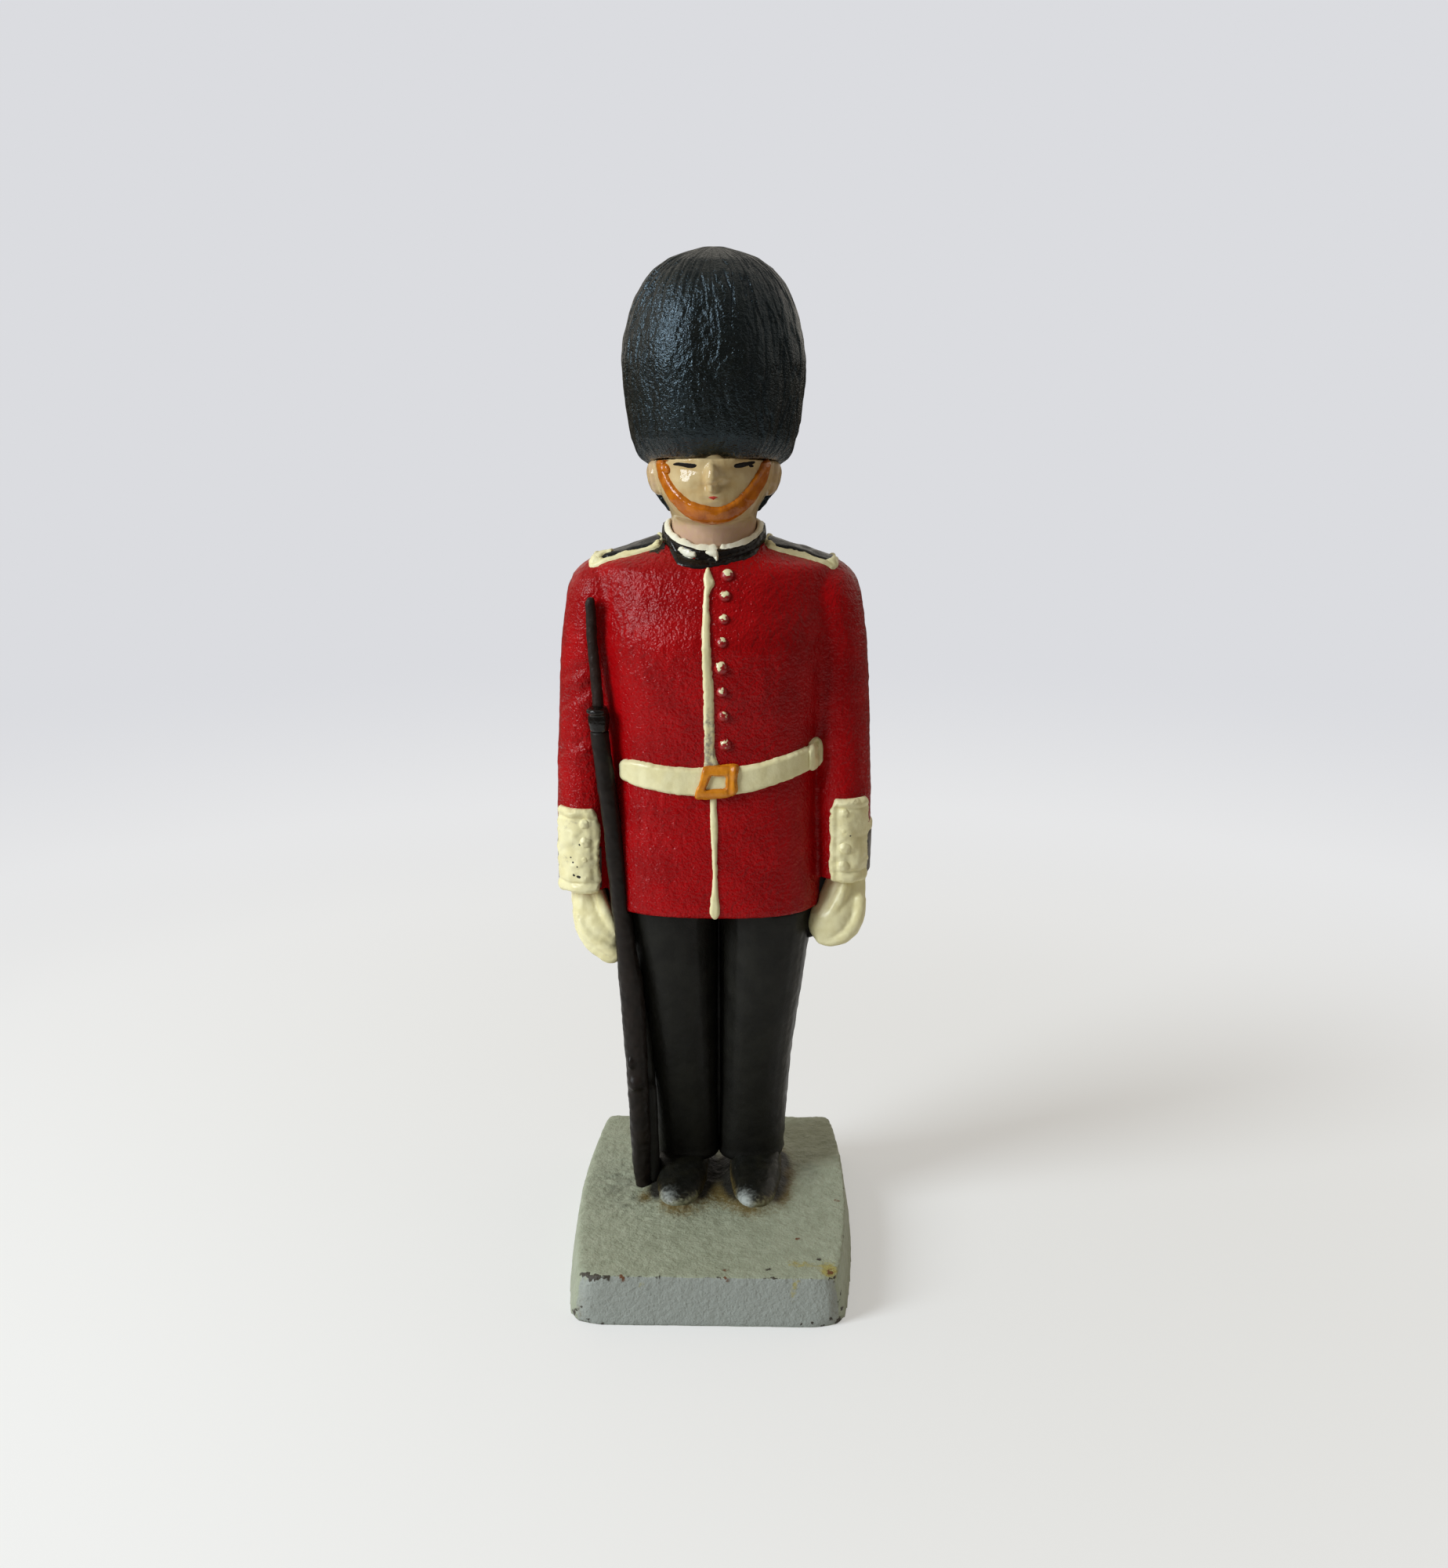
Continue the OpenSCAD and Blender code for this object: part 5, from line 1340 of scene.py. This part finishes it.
cuff_studs = []
stud_maker = stud_recipe("cuff_studs", cream_paint)
for side, seed in (("right", 101), ("left", 111)):
    cuff_studs.append(stud_maker.run(cuff(side, seed), {"Size": 1.0 * MM, "Flatness": 0.66, "Unevenness": 0.4,
                                                        "Seed": seed}))
trim("cuff_button_studs", joined(cuff_studs), "cuff_buttons")

# %% [markdown]
# ## Gloves
# White gloves, the right one closed on the rifle and the left one curled by the seam. Each is built like a
# hand in clay: a palm, then a thumb and fingers as rolls, all fused, with the grooves left between them.

# %% Gloves
HANDS = {
    "right": [[(-26.2, 6.4, 76.4, 2.9), (-26.0, 5.6, 72.4, 3.1), (-25.4, 4.8, 68.4, 3.5),
               (-23.3, 4.2, 65.2, 3.2), (-20.9, 3.6, 63.0, 2.3)],
              [(-23.6, 3.2, 75.0, 1.0), (-22.3, 2.2, 71.6, 1.15), (-20.7, 1.4, 68.2, 1.15),
               (-19.6, 1.2, 66.6, 0.9)],
              [(-27.6, 3.2, 69.6, 1.2), (-25.4, 1.6, 66.2, 1.3), (-22.0, 0.4, 63.6, 1.3),
               (-19.4, 0.2, 62.2, 1.1)],
              [(-27.6, 3.6, 67.4, 1.1), (-25.4, 2.2, 64.0, 1.3), (-22.0, 1.0, 61.6, 1.2),
               (-20.2, 0.8, 60.9, 1.0)],
              [(-26.4, 5.2, 65.0, 1.2), (-24.2, 4.0, 62.6, 1.3), (-21.4, 2.8, 61.0, 1.1)]],
    "left": [[(28.1, 6.4, 79.0, 2.9), (28.2, 5.8, 74.6, 2.9), (27.7, 5.2, 70.4, 3.3), (25.6, 4.8, 67.5, 3.2),
              (23.0, 4.4, 66.4, 2.1)],
             [(26.9, 3.0, 77.2, 1.1), (25.6, 2.3, 73.6, 1.3), (23.6, 1.8, 70.2, 1.4), (21.6, 1.9, 67.6, 1.0)],
             [(29.9, 3.4, 74.0, 1.3), (29.3, 2.4, 70.0, 1.55), (27.2, 1.8, 66.7, 1.6),
              (24.0, 1.8, 65.2, 1.35), (21.6, 2.2, 65.3, 1.0)],
             [(29.8, 5.2, 70.6, 1.4), (28.2, 4.4, 66.8, 1.6), (25.0, 3.8, 64.9, 1.4)]]}


def glove(side, seed):
    hand = clay([solid_of(f"{side}_glove")] + [limb(path) for path in HANDS[side]], voxel=0.3, rounds=6)
    kid = spots(hand)
    push(hand, 0.1 * sand(kid, seed) + 0.12 * grain(kid, 3.2, seed + 1))
    # The grooves between the fingers are marked for painted shade.
    mark_shaded_hollows(hand, rounds=12, deep=0.45)
    # The glove's downward faces are marked darker: painted shade.
    under = rise(-facing(hand)[:, 2], 0.1, 0.8)
    mark(hand, "dirt_and_shade", 0.5 * under * (0.5 + 0.6 * grain(spots(hand), 1.2, seed + 2)))
    trim(f"{side}_glove_casting", hand, f"{side}_glove")


glove("right", 121)
glove("left", 126)

# %% [markdown]
# ## Rifle
# The rifle is part of the same rough casting: a brown-black barrel, a glossy nose cap and a long black stock
# that leans out from the butt by the boot. Clean cylinders would look machined, so each solid of the part
# becomes its own clay and takes the grain of the sand.

# %% Rifle
RIFLE_LEAN = 0.6      # how far the muzzle leans out over the arm
CAP_LIP = [ball((-22.1, -1.6, 113.8), (2.3, 2.2, 0.8))]
STOCK_LUMPS = [ball((-17.0, -1.2, 39.0), (0.9, 1.1, 1.5)), ball((-16.0, -0.8, 34.4), (1.8, 1.6, 1.8))]
RIFLE = {"rifle_barrel": ("barrel_casting", barrel_brown, [], 0.28, 0.16),
         "rifle_nose_cap": ("nose_cap_casting", black_gloss, CAP_LIP, 0.28, 0.06),
         "rifle_stock": ("stock_casting", stock_black, STOCK_LUMPS, 0.34, 0.14)}
for node, (name, finish, lumps, voxel, rough) in RIFLE.items():
    gun = clay([solid_of(node)] + lumps, voxel, rounds=4)
    iron = spots(gun)
    iron[:, 0] -= RIFLE_LEAN * rise(iron[:, 2], 88, 114)
    settle(gun, iron)
    push(gun, rough * sand(iron, 131) + 0.1 * grain(iron, 5, 132))
    piece(name, gun, finish, "figure", "rifle_brown", node)

# %% [markdown]
# ## Head
# A small smooth face under the cap, painted in one flesh colour. The solid gives the neck, jaw, nose and
# ears. Clay is added to the nose and the mouth, and the sockets, cheeks and lips are pressed and raised a
# little. A sculpting brush would do it too, but a short table of places is easier to correct.

# %% Head
FACE_FORM = [(-0.55, (-5.0, -1.5, 161.2), (2.6, 6, 1.2)), (-0.55, (5.6, -1.5, 161.2), (2.6, 6, 1.2)),
             (0.3, (-5.6, -1.5, 158.4), (2.2, 6, 1.6)), (0.3, (6.2, -1.5, 158.4), (2.2, 6, 1.6)),
             (-0.5, (0.4, -4, 158.3), (2.4, 4, 0.6)), (0.42, (0.35, -4, 156.4), (2.2, 4, 0.75)),
             (0.25, (0.35, -4, 155.2), (1.3, 4, 0.45)), (-0.2, (0.35, -4, 155.8), (1.6, 4, 0.25))]
EAR, EAR_HOLLOW = (13.0, -0.4, 158.6), (13.6, -0.2, 158.4)      # the y from the neck's axis

bridge = limb([(0.6, 0.2, 164.0, 1.9), (0.55, -0.6, 162.5, 2.1), (0.5, -1.6, 161.2, 2.3),
               (0.5, -2.2, 160.5, 2.1)])
nose_tip = ball((0.5, -2.8, 160.1), (2.3, 1.7, 1.5))
nose_wings = [ball((x, -2.0, 159.7), (1.4, 1.3, 1.15)) for x in (-1.7, 2.7)]
lips = ball((0.35, -1.6, 156.3), (3.3, 1.9, 1.6))
head = clay([solid_of("head"), bridge, nose_tip, *nose_wings, lips], voxel=0.26, rounds=9)
face = spots(head)
face[:, 0] *= 1 + 0.05 * rise(face[:, 2], 155, 160) * rise(np.abs(face[:, 0]), 7, 11)
jaw = hump(face[:, 2], 149.8, 2.0) * rise(axis_y - face[:, 1], 1, 6)
face += 0.9 * jaw[:, None] * (softened(head, rounds=90) - face)
settle(head, face)
before = rise(-facing(head)[:, 1], 0.1, 0.6)
ears = 0
for hand in HAND.values():
    ear, hollow = ((hand * x, axis_y + y, z) for x, y, z in (EAR, EAR_HOLLOW))
    ears += 0.5 * near(face, ear, (3.5, 2.4, 3.4)) - 0.9 * near(face, hollow, (3.5, 1.1, 1.8))
push(head, before * places(face, FACE_FORM) + ears + 0.05 * grain(face, 3, 141))
face = spots(head)
# The face's hollows are marked for painted shade.
mark_shaded_hollows(head, rounds=16, deep=0.5)
ear_blush = rise(np.abs(face[:, 0]), 10.2, 11.6) * fall(face[:, 1], 10, 15)
neck_blush = fall(face[:, 2], 148.5, 152.5)
mark(head, "blush", np.maximum(0.45 * ear_blush, 0.7 * neck_blush))
face_bed = bed_of(head)
piece("head_casting", head, skin_paint, "head", "skin", "head")

# %% [markdown]
# ## Chin strap, eyes and mouth
# The ochre chin strap is the boldest stroke of the face: a thick raised band from cap to cap under the lip.
# The eyes are short black strokes tucked under the rim, and the mouth is two touches of red. All are brushed
# on, so that they lie on the face's own swell.

# %% Face paint
CHIN_TOP = [(-9.0, 163.0), (-8.7, 160.2), (-7.0, 157.6), (-4.4, 155.5), (-1.2, 154.5), (1.6, 154.2),
            (4.0, 155.2), (6.4, 157.4), (8.6, 160.4), (9.8, 163.0)]
CHIN_LOW = [(-10.9, 162.4), (-10.1, 159.0), (-8.3, 155.6), (-5.4, 152.7), (-1.9, 151.1), (1.3, 151.0),
            (4.9, 152.3), (7.8, 154.8), (9.9, 158.2), (10.9, 161.6)]
HOOK_TOP = [(-9.6, 162.0), (-8.6, 161.7), (-7.9, 160.9)]
HOOK_LOW = [(-9.4, 160.2), (-8.8, 159.9), (-8.2, 159.8)]
EYES = [[(-7.6, 161.85, 0.14), (-6.4, 162.05, 0.34), (-4.6, 161.9, 0.46), (-3.4, 161.95, 0.42),
         (-2.7, 162.1, 0.26)],
        [(4.1, 161.75, 0.34), (5.2, 161.9, 0.48), (6.4, 162.05, 0.44), (7.3, 162.15, 0.38),
         (8.3, 162.3, 0.28)],
        [(6.9, 161.9, 0.22), (7.5, 161.6, 0.32), (8.1, 161.45, 0.22)]]
LIPS = [[(-0.75, 156.2, 0.09), (-0.1, 156.05, 0.2), (0.35, 156.0, 0.34), (0.8, 156.1, 0.16),
         (1.5, 156.15, 0.08)],
        [(0.0, 155.75, 0.12), (0.3, 155.65, 0.2), (0.6, 155.75, 0.12)]]


def face_strokes(lines, seed, **how):
    """Thin strokes of paint on the face, each with a seed of its own."""
    return joined([stroke(face_bed, line, seed=seed + i, rounded=0.2, even=1, **how)
                   for i, line in enumerate(lines)])


chin = brush(face_bed, from_front, CHIN_TOP, CHIN_LOW, thick=0.85, steps=(220, 30), ragged=0.09, seed=152,
             rounded=0.7, relief=lambda points: 0.14 * grain(points, 1.6, 151), even=5)
hook = brush(face_bed, from_front, HOOK_TOP, HOOK_LOW, thick=0.7, steps=(40, 24), ragged=0.08, seed=154,
             rounded=0.6, even=5)
chin_strap = joined([chin, hook])
# The strap's grooves are marked for painted shade.
mark_shaded_hollows(chin_strap, rounds=8, deep=0.35)
piece("chin_strap_band", chin_strap, ochre_paint, "head", "trim_ochre", "chin_strap")
eyes = face_strokes(EYES, 156, thick=0.09, steps=(60, 14), ragged=0.07)
piece("eye_strokes", eyes, eye_black, "head", "trim_black")
mouth = face_strokes(LIPS, 161, thick=0.1, steps=(40, 14), ragged=0.06)
piece("mouth_stroke", mouth, lip_red, "head", "skin")

# %% [markdown]
# ## Fur cap
# The tall bearskin is the figure's crown. Its fur is cast in iron: wavy locks that run from the crown to the
# rim, cut by narrow grooves on one side and broken into pebbles on the other, under a glossy black coat. Its
# shape follows a rule, so Geometry Nodes carve it: noise that is stretched along the locks pushes the surface
# in and out. The script makes only the smooth form, and writes on each point where it lies round and along.

# %% Fur recipe
# In the fur paint the groove stain darkens the carved grooves: painted shade.
# The rim stain lightens the fur by the brow: partly brownish paint, partly painted light against the shade
# under the rim.
fur_paint = enamel(
    "fur_paint", tone(12, 12, 7), tone(18, 17, 10), (0.13, 0.26), 3.0, (0.6, 0.2), (0.3, 0.08),
    (("rim", tone(128, 106, 76), 0.25, 1.1, 0.2), ("groove", tone(6, 6, 4), 0.3, 0.9, 0.1)), 0.45)
fur_shader = fur_paint.node_tree.nodes["Principled BSDF"]
# The bluish tint on the fur's reflections stands for the window's colour: a painted reflection tint.
fur_shader.inputs["Specular Tint"].default_value = tone(206, 236, 255)
ALONG_LOCKS = (1.0, 1.0, 0.17)      # how the noise is drawn out along the fur
ALONG_PEBBLES = (1.0, 1.0, 0.7)


def fur_recipe(finish):
    recipe = Recipe("carved_fur", {"Lock Width": 1.5, "Lock Depth": 0.5, "Groove Depth": 0.5,
                                   "Pebble Width": 1.0, "Pebble Depth": 0.4, "Waviness": 2.2, "Seed": 1.0})
    given = recipe.given
    flow = recipe.carried("flow", "FLOAT_VECTOR")
    pebbly, depth = (recipe.carried(name, "FLOAT") for name in ("pebbly", "depth"))

    def times(*factors):
        result = factors[0]
        for factor in factors[1:]:
            result = recipe.sums("MULTIPLY", result, factor)
        return result

    def noise(place, width, detail):
        scale = recipe.sums("DIVIDE", 1.0, width)
        feeds = {"Vector": place, "W": given["Seed"], "Scale": scale, "Detail": detail}
        return recipe.add("ShaderNodeTexNoise", feeds, noise_dimensions="4D")

    def level(place, width, detail):
        return recipe.sums("SUBTRACT", noise(place, width, detail)[0], 0.5)

    sway = recipe.scaled(recipe.vector("SUBTRACT", noise(flow, 7.0, 1.0)[1], HALF), given["Waviness"])
    wavy = recipe.vector("ADD", flow, sway)
    drawn = recipe.vector("MULTIPLY", wavy, ALONG_LOCKS)
    lock = level(drawn, given["Lock Width"], 2.0)
    strand = level(drawn, times(given["Lock Width"], 0.45), 1.0)
    cut = level(drawn, times(given["Lock Width"], 1.5), 0.0)
    cut = recipe.ramp(recipe.sums("ABSOLUTE", cut), 0.0, 0.07, (1.0, 0.0))
    pebble = level(recipe.vector("MULTIPLY", wavy, ALONG_PEBBLES), given["Pebble Width"], 2.0)
    cut = times(cut, recipe.sums("SUBTRACT", 1.0, pebbly))
    locks = times(recipe.sums("ADD", lock, times(strand, 0.6)), given["Lock Depth"])
    grooves = times(cut, given["Groove Depth"])
    pebbles = times(pebble, pebbly, given["Pebble Depth"])
    height = recipe.sums("ADD", recipe.sums("SUBTRACT", locks, grooves), pebbles)
    offset = recipe.scaled(recipe.add("GeometryNodeInputNormal")[0], times(height, depth, MM))
    # The grooves are noted for the paint to darken: painted shade.
    kept = recipe.noted(given["Geometry"], "groove", times(cut, depth))
    recipe.serve(recipe.moved(kept, offset), finish)
    return recipe


print("fur recipe ready")

# %% [markdown]
# ### The cap's form
# The smooth form is a turned profile, but the solid underneath already has eight swaying locks. So lines are
# cast out from the cap's axis on to that solid, and the columns of points that they give follow its locks.
# The rim is drawn in until it presses on the brow, and rolls under.

# %% Fur cap
CAP_PROFILE = [(13.6, 156.5), (14.4, 158.8), (15.4, 161.6), (16.6, 165.5), (17.5, 171), (18.05, 177.5),
               (18.05, 183), (17.2, 188.8), (15.3, 193.3), (11.8, 197.4), (7.2, 200.3), (2.8, 201.75),
               (0.0, cap_top)]      # radius and height
CAP_WIDEST = CAP_PROFILE[5][0]
RIM_Z, RIM_TILT, RIM_R = 161.3, math.tan(math.radians(8.5)), 15.3
NAPE_DROP = 2.4
RIM_ROLL = 2.0
RIM_PRESS = 0.5      # how far the rim sinks into the brow
CAP_HEART = (168.0, 184.0)      # lines to the skin start on the axis between these heights
CAP_ROUND, CAP_UP = 440, 196
SWIRL = (2.0, 17.0, 6.0, 0.4)      # its place round and up the cap, its reach, and its turn


def rim_heights(turns):
    """The rim rises to the brow, and drops behind the ears."""
    from_brow = np.degrees(np.abs((turns + np.pi) % (2 * np.pi) - np.pi))
    return RIM_Z + RIM_TILT * RIM_R * np.cos(turns) - NAPE_DROP * rise(from_brow, 86, 108)


def on_solid(bed, starts, aims):
    """Where lines from inside a solid meet its skin, or the aim itself where they pass it by."""
    found = []
    for start, aim in zip(starts.tolist(), aims.tolist()):
        spot = bed.ray_cast(start, Vector(aim) - Vector(start))[0]
        found.append(spot[:] if spot else aim)
    return np.array(found)


def swirled(round_at, up):
    """Bend the way the fur lies round one point of the front."""
    middle_round, middle_up, reach, turn = SWIRL
    across, rising = round_at - middle_round, up - middle_up
    bend = turn * np.exp(-(across ** 2 + rising ** 2) / reach ** 2)
    return (middle_round + np.cos(bend) * across - np.sin(bend) * rising,
            middle_up + np.sin(bend) * across + np.cos(bend) * rising)


def stand_off(rim):
    """How far the rim stands off the brow all round, evened. Behind the ears it keeps a plain roll."""
    gaps = []
    for x, y, z in rim.tolist():
        gap = face_bed.ray_cast((x, y, z - 0.3), Vector((-x, axis_y - y, 0)))[3]
        gaps.append(min(gap or RIM_ROLL, 5.0))
    brow = rise(axis_y - rim[:, 1], -4, 2)
    gaps = RIM_ROLL + brow * (np.array(gaps) - RIM_ROLL)
    return sum(np.roll(gaps, step) for step in range(-8, 9)) / 17


def smooth_cap():
    """The cap's form without its fine fur, as columns from rim to crown, with the way the fur lies."""
    profile = curve(CAP_PROFILE, 400)
    length = np.concatenate([[0], np.cumsum(np.linalg.norm(np.diff(profile, axis=0), axis=1))])
    turns = np.linspace(-np.pi, np.pi, CAP_ROUND, endpoint=False)
    start = np.interp(rim_heights(turns), profile[:, 1], length)[:, None]
    up = (length[-1] - start) * np.linspace(0, 1, CAP_UP, endpoint=False)
    radius, height = (np.interp(start + up, length, profile[:, k]) for k in (0, 1))
    sides, ahead = np.sin(turns)[:, None], np.cos(turns)[:, None]
    aims = np.stack([radius * sides, axis_y - radius * ahead, height], axis=2).reshape(-1, 3)
    hearts = np.column_stack([0 * aims[:, 0], 0 * aims[:, 0] + axis_y, np.clip(aims[:, 2], *CAP_HEART)])
    points = aims.copy()
    inside = aims[:, 2] > RIM_Z + RIM_TILT * (axis_y - aims[:, 1])
    points[inside] = on_solid(bed_of(mesh_of(*solid_of("bearskin"))), hearts[inside], aims[inside])
    points = evened(points.reshape(CAP_ROUND, CAP_UP, 3), 6, True)
    tucked = (stand_off(points[:, 0])[:, None] + RIM_PRESS) * np.exp(-(up / 2.6) ** 1.5)
    points -= tucked[:, :, None] * np.stack([sides, -ahead, RIM_TILT * ahead], axis=2)
    round_at, rising = swirled(CAP_WIDEST * turns[:, None] + 0 * up, up)
    lie = round_at / CAP_WIDEST
    flow = np.stack([17 * np.sin(lie), 17 * np.cos(lie), rising], axis=2)
    return points, flow, up, turns


print("cap form ready")

# %% [markdown]
# ### Carving the fur
# The columns become one closed skin, with an underside that shuts it inside the rim. Every point carries the
# way the fur lies there, how pebbly it is and how deep the carving goes, which fades towards rim and crown.

# %% Carving the fur
cap_points, cap_flow, from_rim, turns = smooth_cap()
underside = []
for radius in (6.0, 11.5):
    flat = np.column_stack([radius * np.sin(turns), axis_y - radius * np.cos(turns),
                            cap_points[:, 0, 2] + 0.4])
    flat[:, 2] = np.minimum(flat[:, 2], RIM_Z + RIM_TILT * radius * np.cos(turns) + 0.4)
    underside.append(flat)
rings = np.stack(underside + list(cap_points.transpose(1, 0, 2)))
spare = np.zeros((len(underside), CAP_ROUND))
ends = np.array([[0, axis_y, RIM_Z + 0.4], [0, axis_y, cap_top]])
cap = mesh_of(np.vstack([rings.reshape(-1, 3), ends]), ring_faces(len(rings), CAP_ROUND))
outward(cap)
from_rim = np.vstack([spare, from_rim.T]).ravel()
round_at = np.tile(np.degrees(turns), len(rings))
level = rings.reshape(-1, 3)[:, 2]
crown = np.hypot(rings[..., 0], rings[..., 1] - axis_y).ravel()
pebbly = hump(round_at, -20, 46) * rise(level, 163, 168) * fall(level, 186, 197)
flow = np.vstack([np.zeros((spare.size, 3)), cap_flow.transpose(1, 0, 2).reshape(-1, 3), ends])
flow_layer = cap.attributes.new("flow", "FLOAT_VECTOR", "POINT")
flow_layer.data.foreach_set("vector", flow.astype(np.float32).ravel())
depth = rise(from_rim, 0.4, 3) * (0.2 + 0.8 * rise(crown, 3, 14))
# The rim mark lightens the fur near the brow: partly brownish paint, partly painted light against the shade
# there.
for name, values in (("pebbly", pebbly), ("depth", depth), ("rim", 0.8 * np.exp(-from_rim / 1.3))):
    mark(cap, name, np.append(values, [0, 0]))
fur = fur_recipe(fur_paint).run(cap, {"Lock Width": 1.25, "Lock Depth": 0.44, "Groove Depth": 0.36,
                                      "Pebble Width": 0.7, "Pebble Depth": 0.5, "Waviness": 1.8, "Seed": 4.0})
piece("bearskin_fur", fur, None, "head", "fur_black", "bearskin")

# %% [markdown]
# ## Hair at the nape
# A little dark hair shows behind the ears, under the cap. A brushed stroke would be too thin there, so it is
# clay from its own solid, drawn in towards the neck.

# %% Hair
hair = clay([solid_of("hair")], voxel=0.32, rounds=6)
locks = spots(hair)
drawn_in = fall(locks[:, 2], 151, 157)
locks[:, 0] *= 1 - 0.1 * drawn_in
locks[:, 1] -= 0.8 * drawn_in * rise(locks[:, 1], axis_y + 5, axis_y + 12)
settle(hair, locks)
push(hair, 0.25 * grain(locks * [1, 1, 0.25], 0.9, 171))
piece("nape_hair", hair, fur_paint, "head", "fur_black", "hair")

# %% [markdown]
# ## Fixings
# The rods, nuts, screws, spigot and bush inside are turned metal with the right shape already, so the part's
# own nodes stay and only get their metal.

# %% Fixings
FIXINGS = {"tie_rods": bright_steel, "tie_nuts": bright_steel, "tunic_screws": bright_steel,
           "neck_spigot": bright_steel, "neck_socket": bush_brass}
for node, finish in FIXINGS.items():
    for place in frame["nodes"][node].material_slots:
        place.material = finish
print("fixings", len(FIXINGS))

# %% [markdown]
# ## Studio
# The photograph is lit by one large window on the left in a pale room, which is darker behind the viewer. An
# area lamp stands for the window. The floor is a pale sheet on a dark table. Away from the figure the camera
# sees floor and room as one plain pale tone, which adds no light and leaves the shadow near it.

# %% Floor
FLOOR_R = 4.0
WALL_TONE = tone(219, 220, 224)
FLOOR_TONE = tone(238, 238, 237)
TABLE_TONE = tone(84, 78, 70)


def disc(radius, sides=96):
    """A round sheet on the floor."""
    turns = np.linspace(0, 2 * np.pi, sides, endpoint=False)
    rim = [(radius * math.cos(turn), radius * math.sin(turn), 0.0) for turn in turns]
    sheet = bpy.data.meshes.new("disc")
    sheet.from_pydata(rim, [], [list(range(sides))])
    return sheet


card = Finish("floor_card")
away = card.add("ShaderNodeVectorMath", {0: card.where}, operation="LENGTH")["Value"]
card.shade({"Base Color": card.mix(card.ramp(away, 0.22, 0.4), FLOOR_TONE, TABLE_TONE), "Roughness": 0.9})
seen_tone = card.mix(card.ramp(away, 0.12, 0.6), FLOOR_TONE, WALL_TONE)
pale = card.add("ShaderNodeEmission", {"Color": seen_tone})[0]
seen = card.add("ShaderNodeLightPath")["Is Camera Ray"]
share = card.sums("MULTIPLY", seen, card.ramp(away, 0.08, 0.34, (0.4, 1.0)))
either = card.add("ShaderNodeMixShader", {0: share, 1: card.shader.outputs[0], 2: pale})[0]
card.feed(card.tree.nodes["Material Output"].inputs["Surface"], either)
floor = workpiece("floor", disc(FLOOR_R))
floor.data.materials.append(card.material)
print("floor", FLOOR_R, "m in radius")

# %% [markdown]
# ### Window and room
# The world stands for the room: pale all round, and dim ahead of the figure, because a bright front would
# lie on the gloss like a grey veil. The camera sees the plain wall instead, and so does gloss, by a small
# share.

# %% Window and room
KEY_TURN, KEY_LIFT, KEY_FAR = -59, 27, 0.85      # degrees round from the front, degrees up, and metres away
KEY_SIZE = (0.3, 0.52)      # width and height, in metres
KEY_POWER = 7.6      # in watts
KEY_TONE = (0.86, 0.94, 1.0)
AIR_TONE = (1.0, 0.92, 0.79, 1)
ROOM_AHEAD, ROOM_AROUND = 0.1, 0.6
WALL_IN_GLOSS = 0.12      # how much of the plain wall shows in gloss and metal
CHEST_Z = 0.11      # the height that the window faces, in metres

window = bpy.data.objects.new("window", bpy.data.lights.new("window", "AREA"))
window.data.shape = "RECTANGLE"
window.data.size, window.data.size_y = KEY_SIZE
window.data.energy = KEY_POWER
window.data.color = KEY_TONE
turn, lift = math.radians(KEY_TURN), math.radians(KEY_LIFT)
toward = Vector((math.sin(turn) * math.cos(lift), -math.cos(turn) * math.cos(lift), math.sin(lift)))
window.location = Vector((0, axis_y * MM, CHEST_Z)) + KEY_FAR * toward
window.rotation_euler = (-toward).to_track_quat("-Z", "Y").to_euler()
scene.collection.objects.link(window)

scene.world = bpy.data.worlds.new("room")
scene.world.use_nodes = True
room = Bench(scene.world.node_tree)
look = room.add("ShaderNodeSeparateXYZ", {0: room.add("ShaderNodeTexCoord")["Generated"]})[1]
air = room.tree.nodes["Background"]
air.inputs["Color"].default_value = AIR_TONE
room.feed(air.inputs["Strength"], room.ramp(look, -0.85, 0.1, (ROOM_AHEAD, ROOM_AROUND)))
wall = room.add("ShaderNodeBackground", {"Color": WALL_TONE})[0]
ray = room.add("ShaderNodeLightPath")
mirrored = room.sums("MAXIMUM", ray["Is Glossy Ray"], ray["Is Transmission Ray"])
wall_share = room.sums("ADD", room.sums("MULTIPLY", mirrored, WALL_IN_GLOSS), ray["Is Camera Ray"])
either = room.add("ShaderNodeMixShader", {0: wall_share, 1: air.outputs[0], 2: wall})[0]
room.feed(room.tree.nodes["World Output"].inputs["Surface"], either)
scene.view_settings.view_transform = "Standard"
print("lamps", window.data.energy)
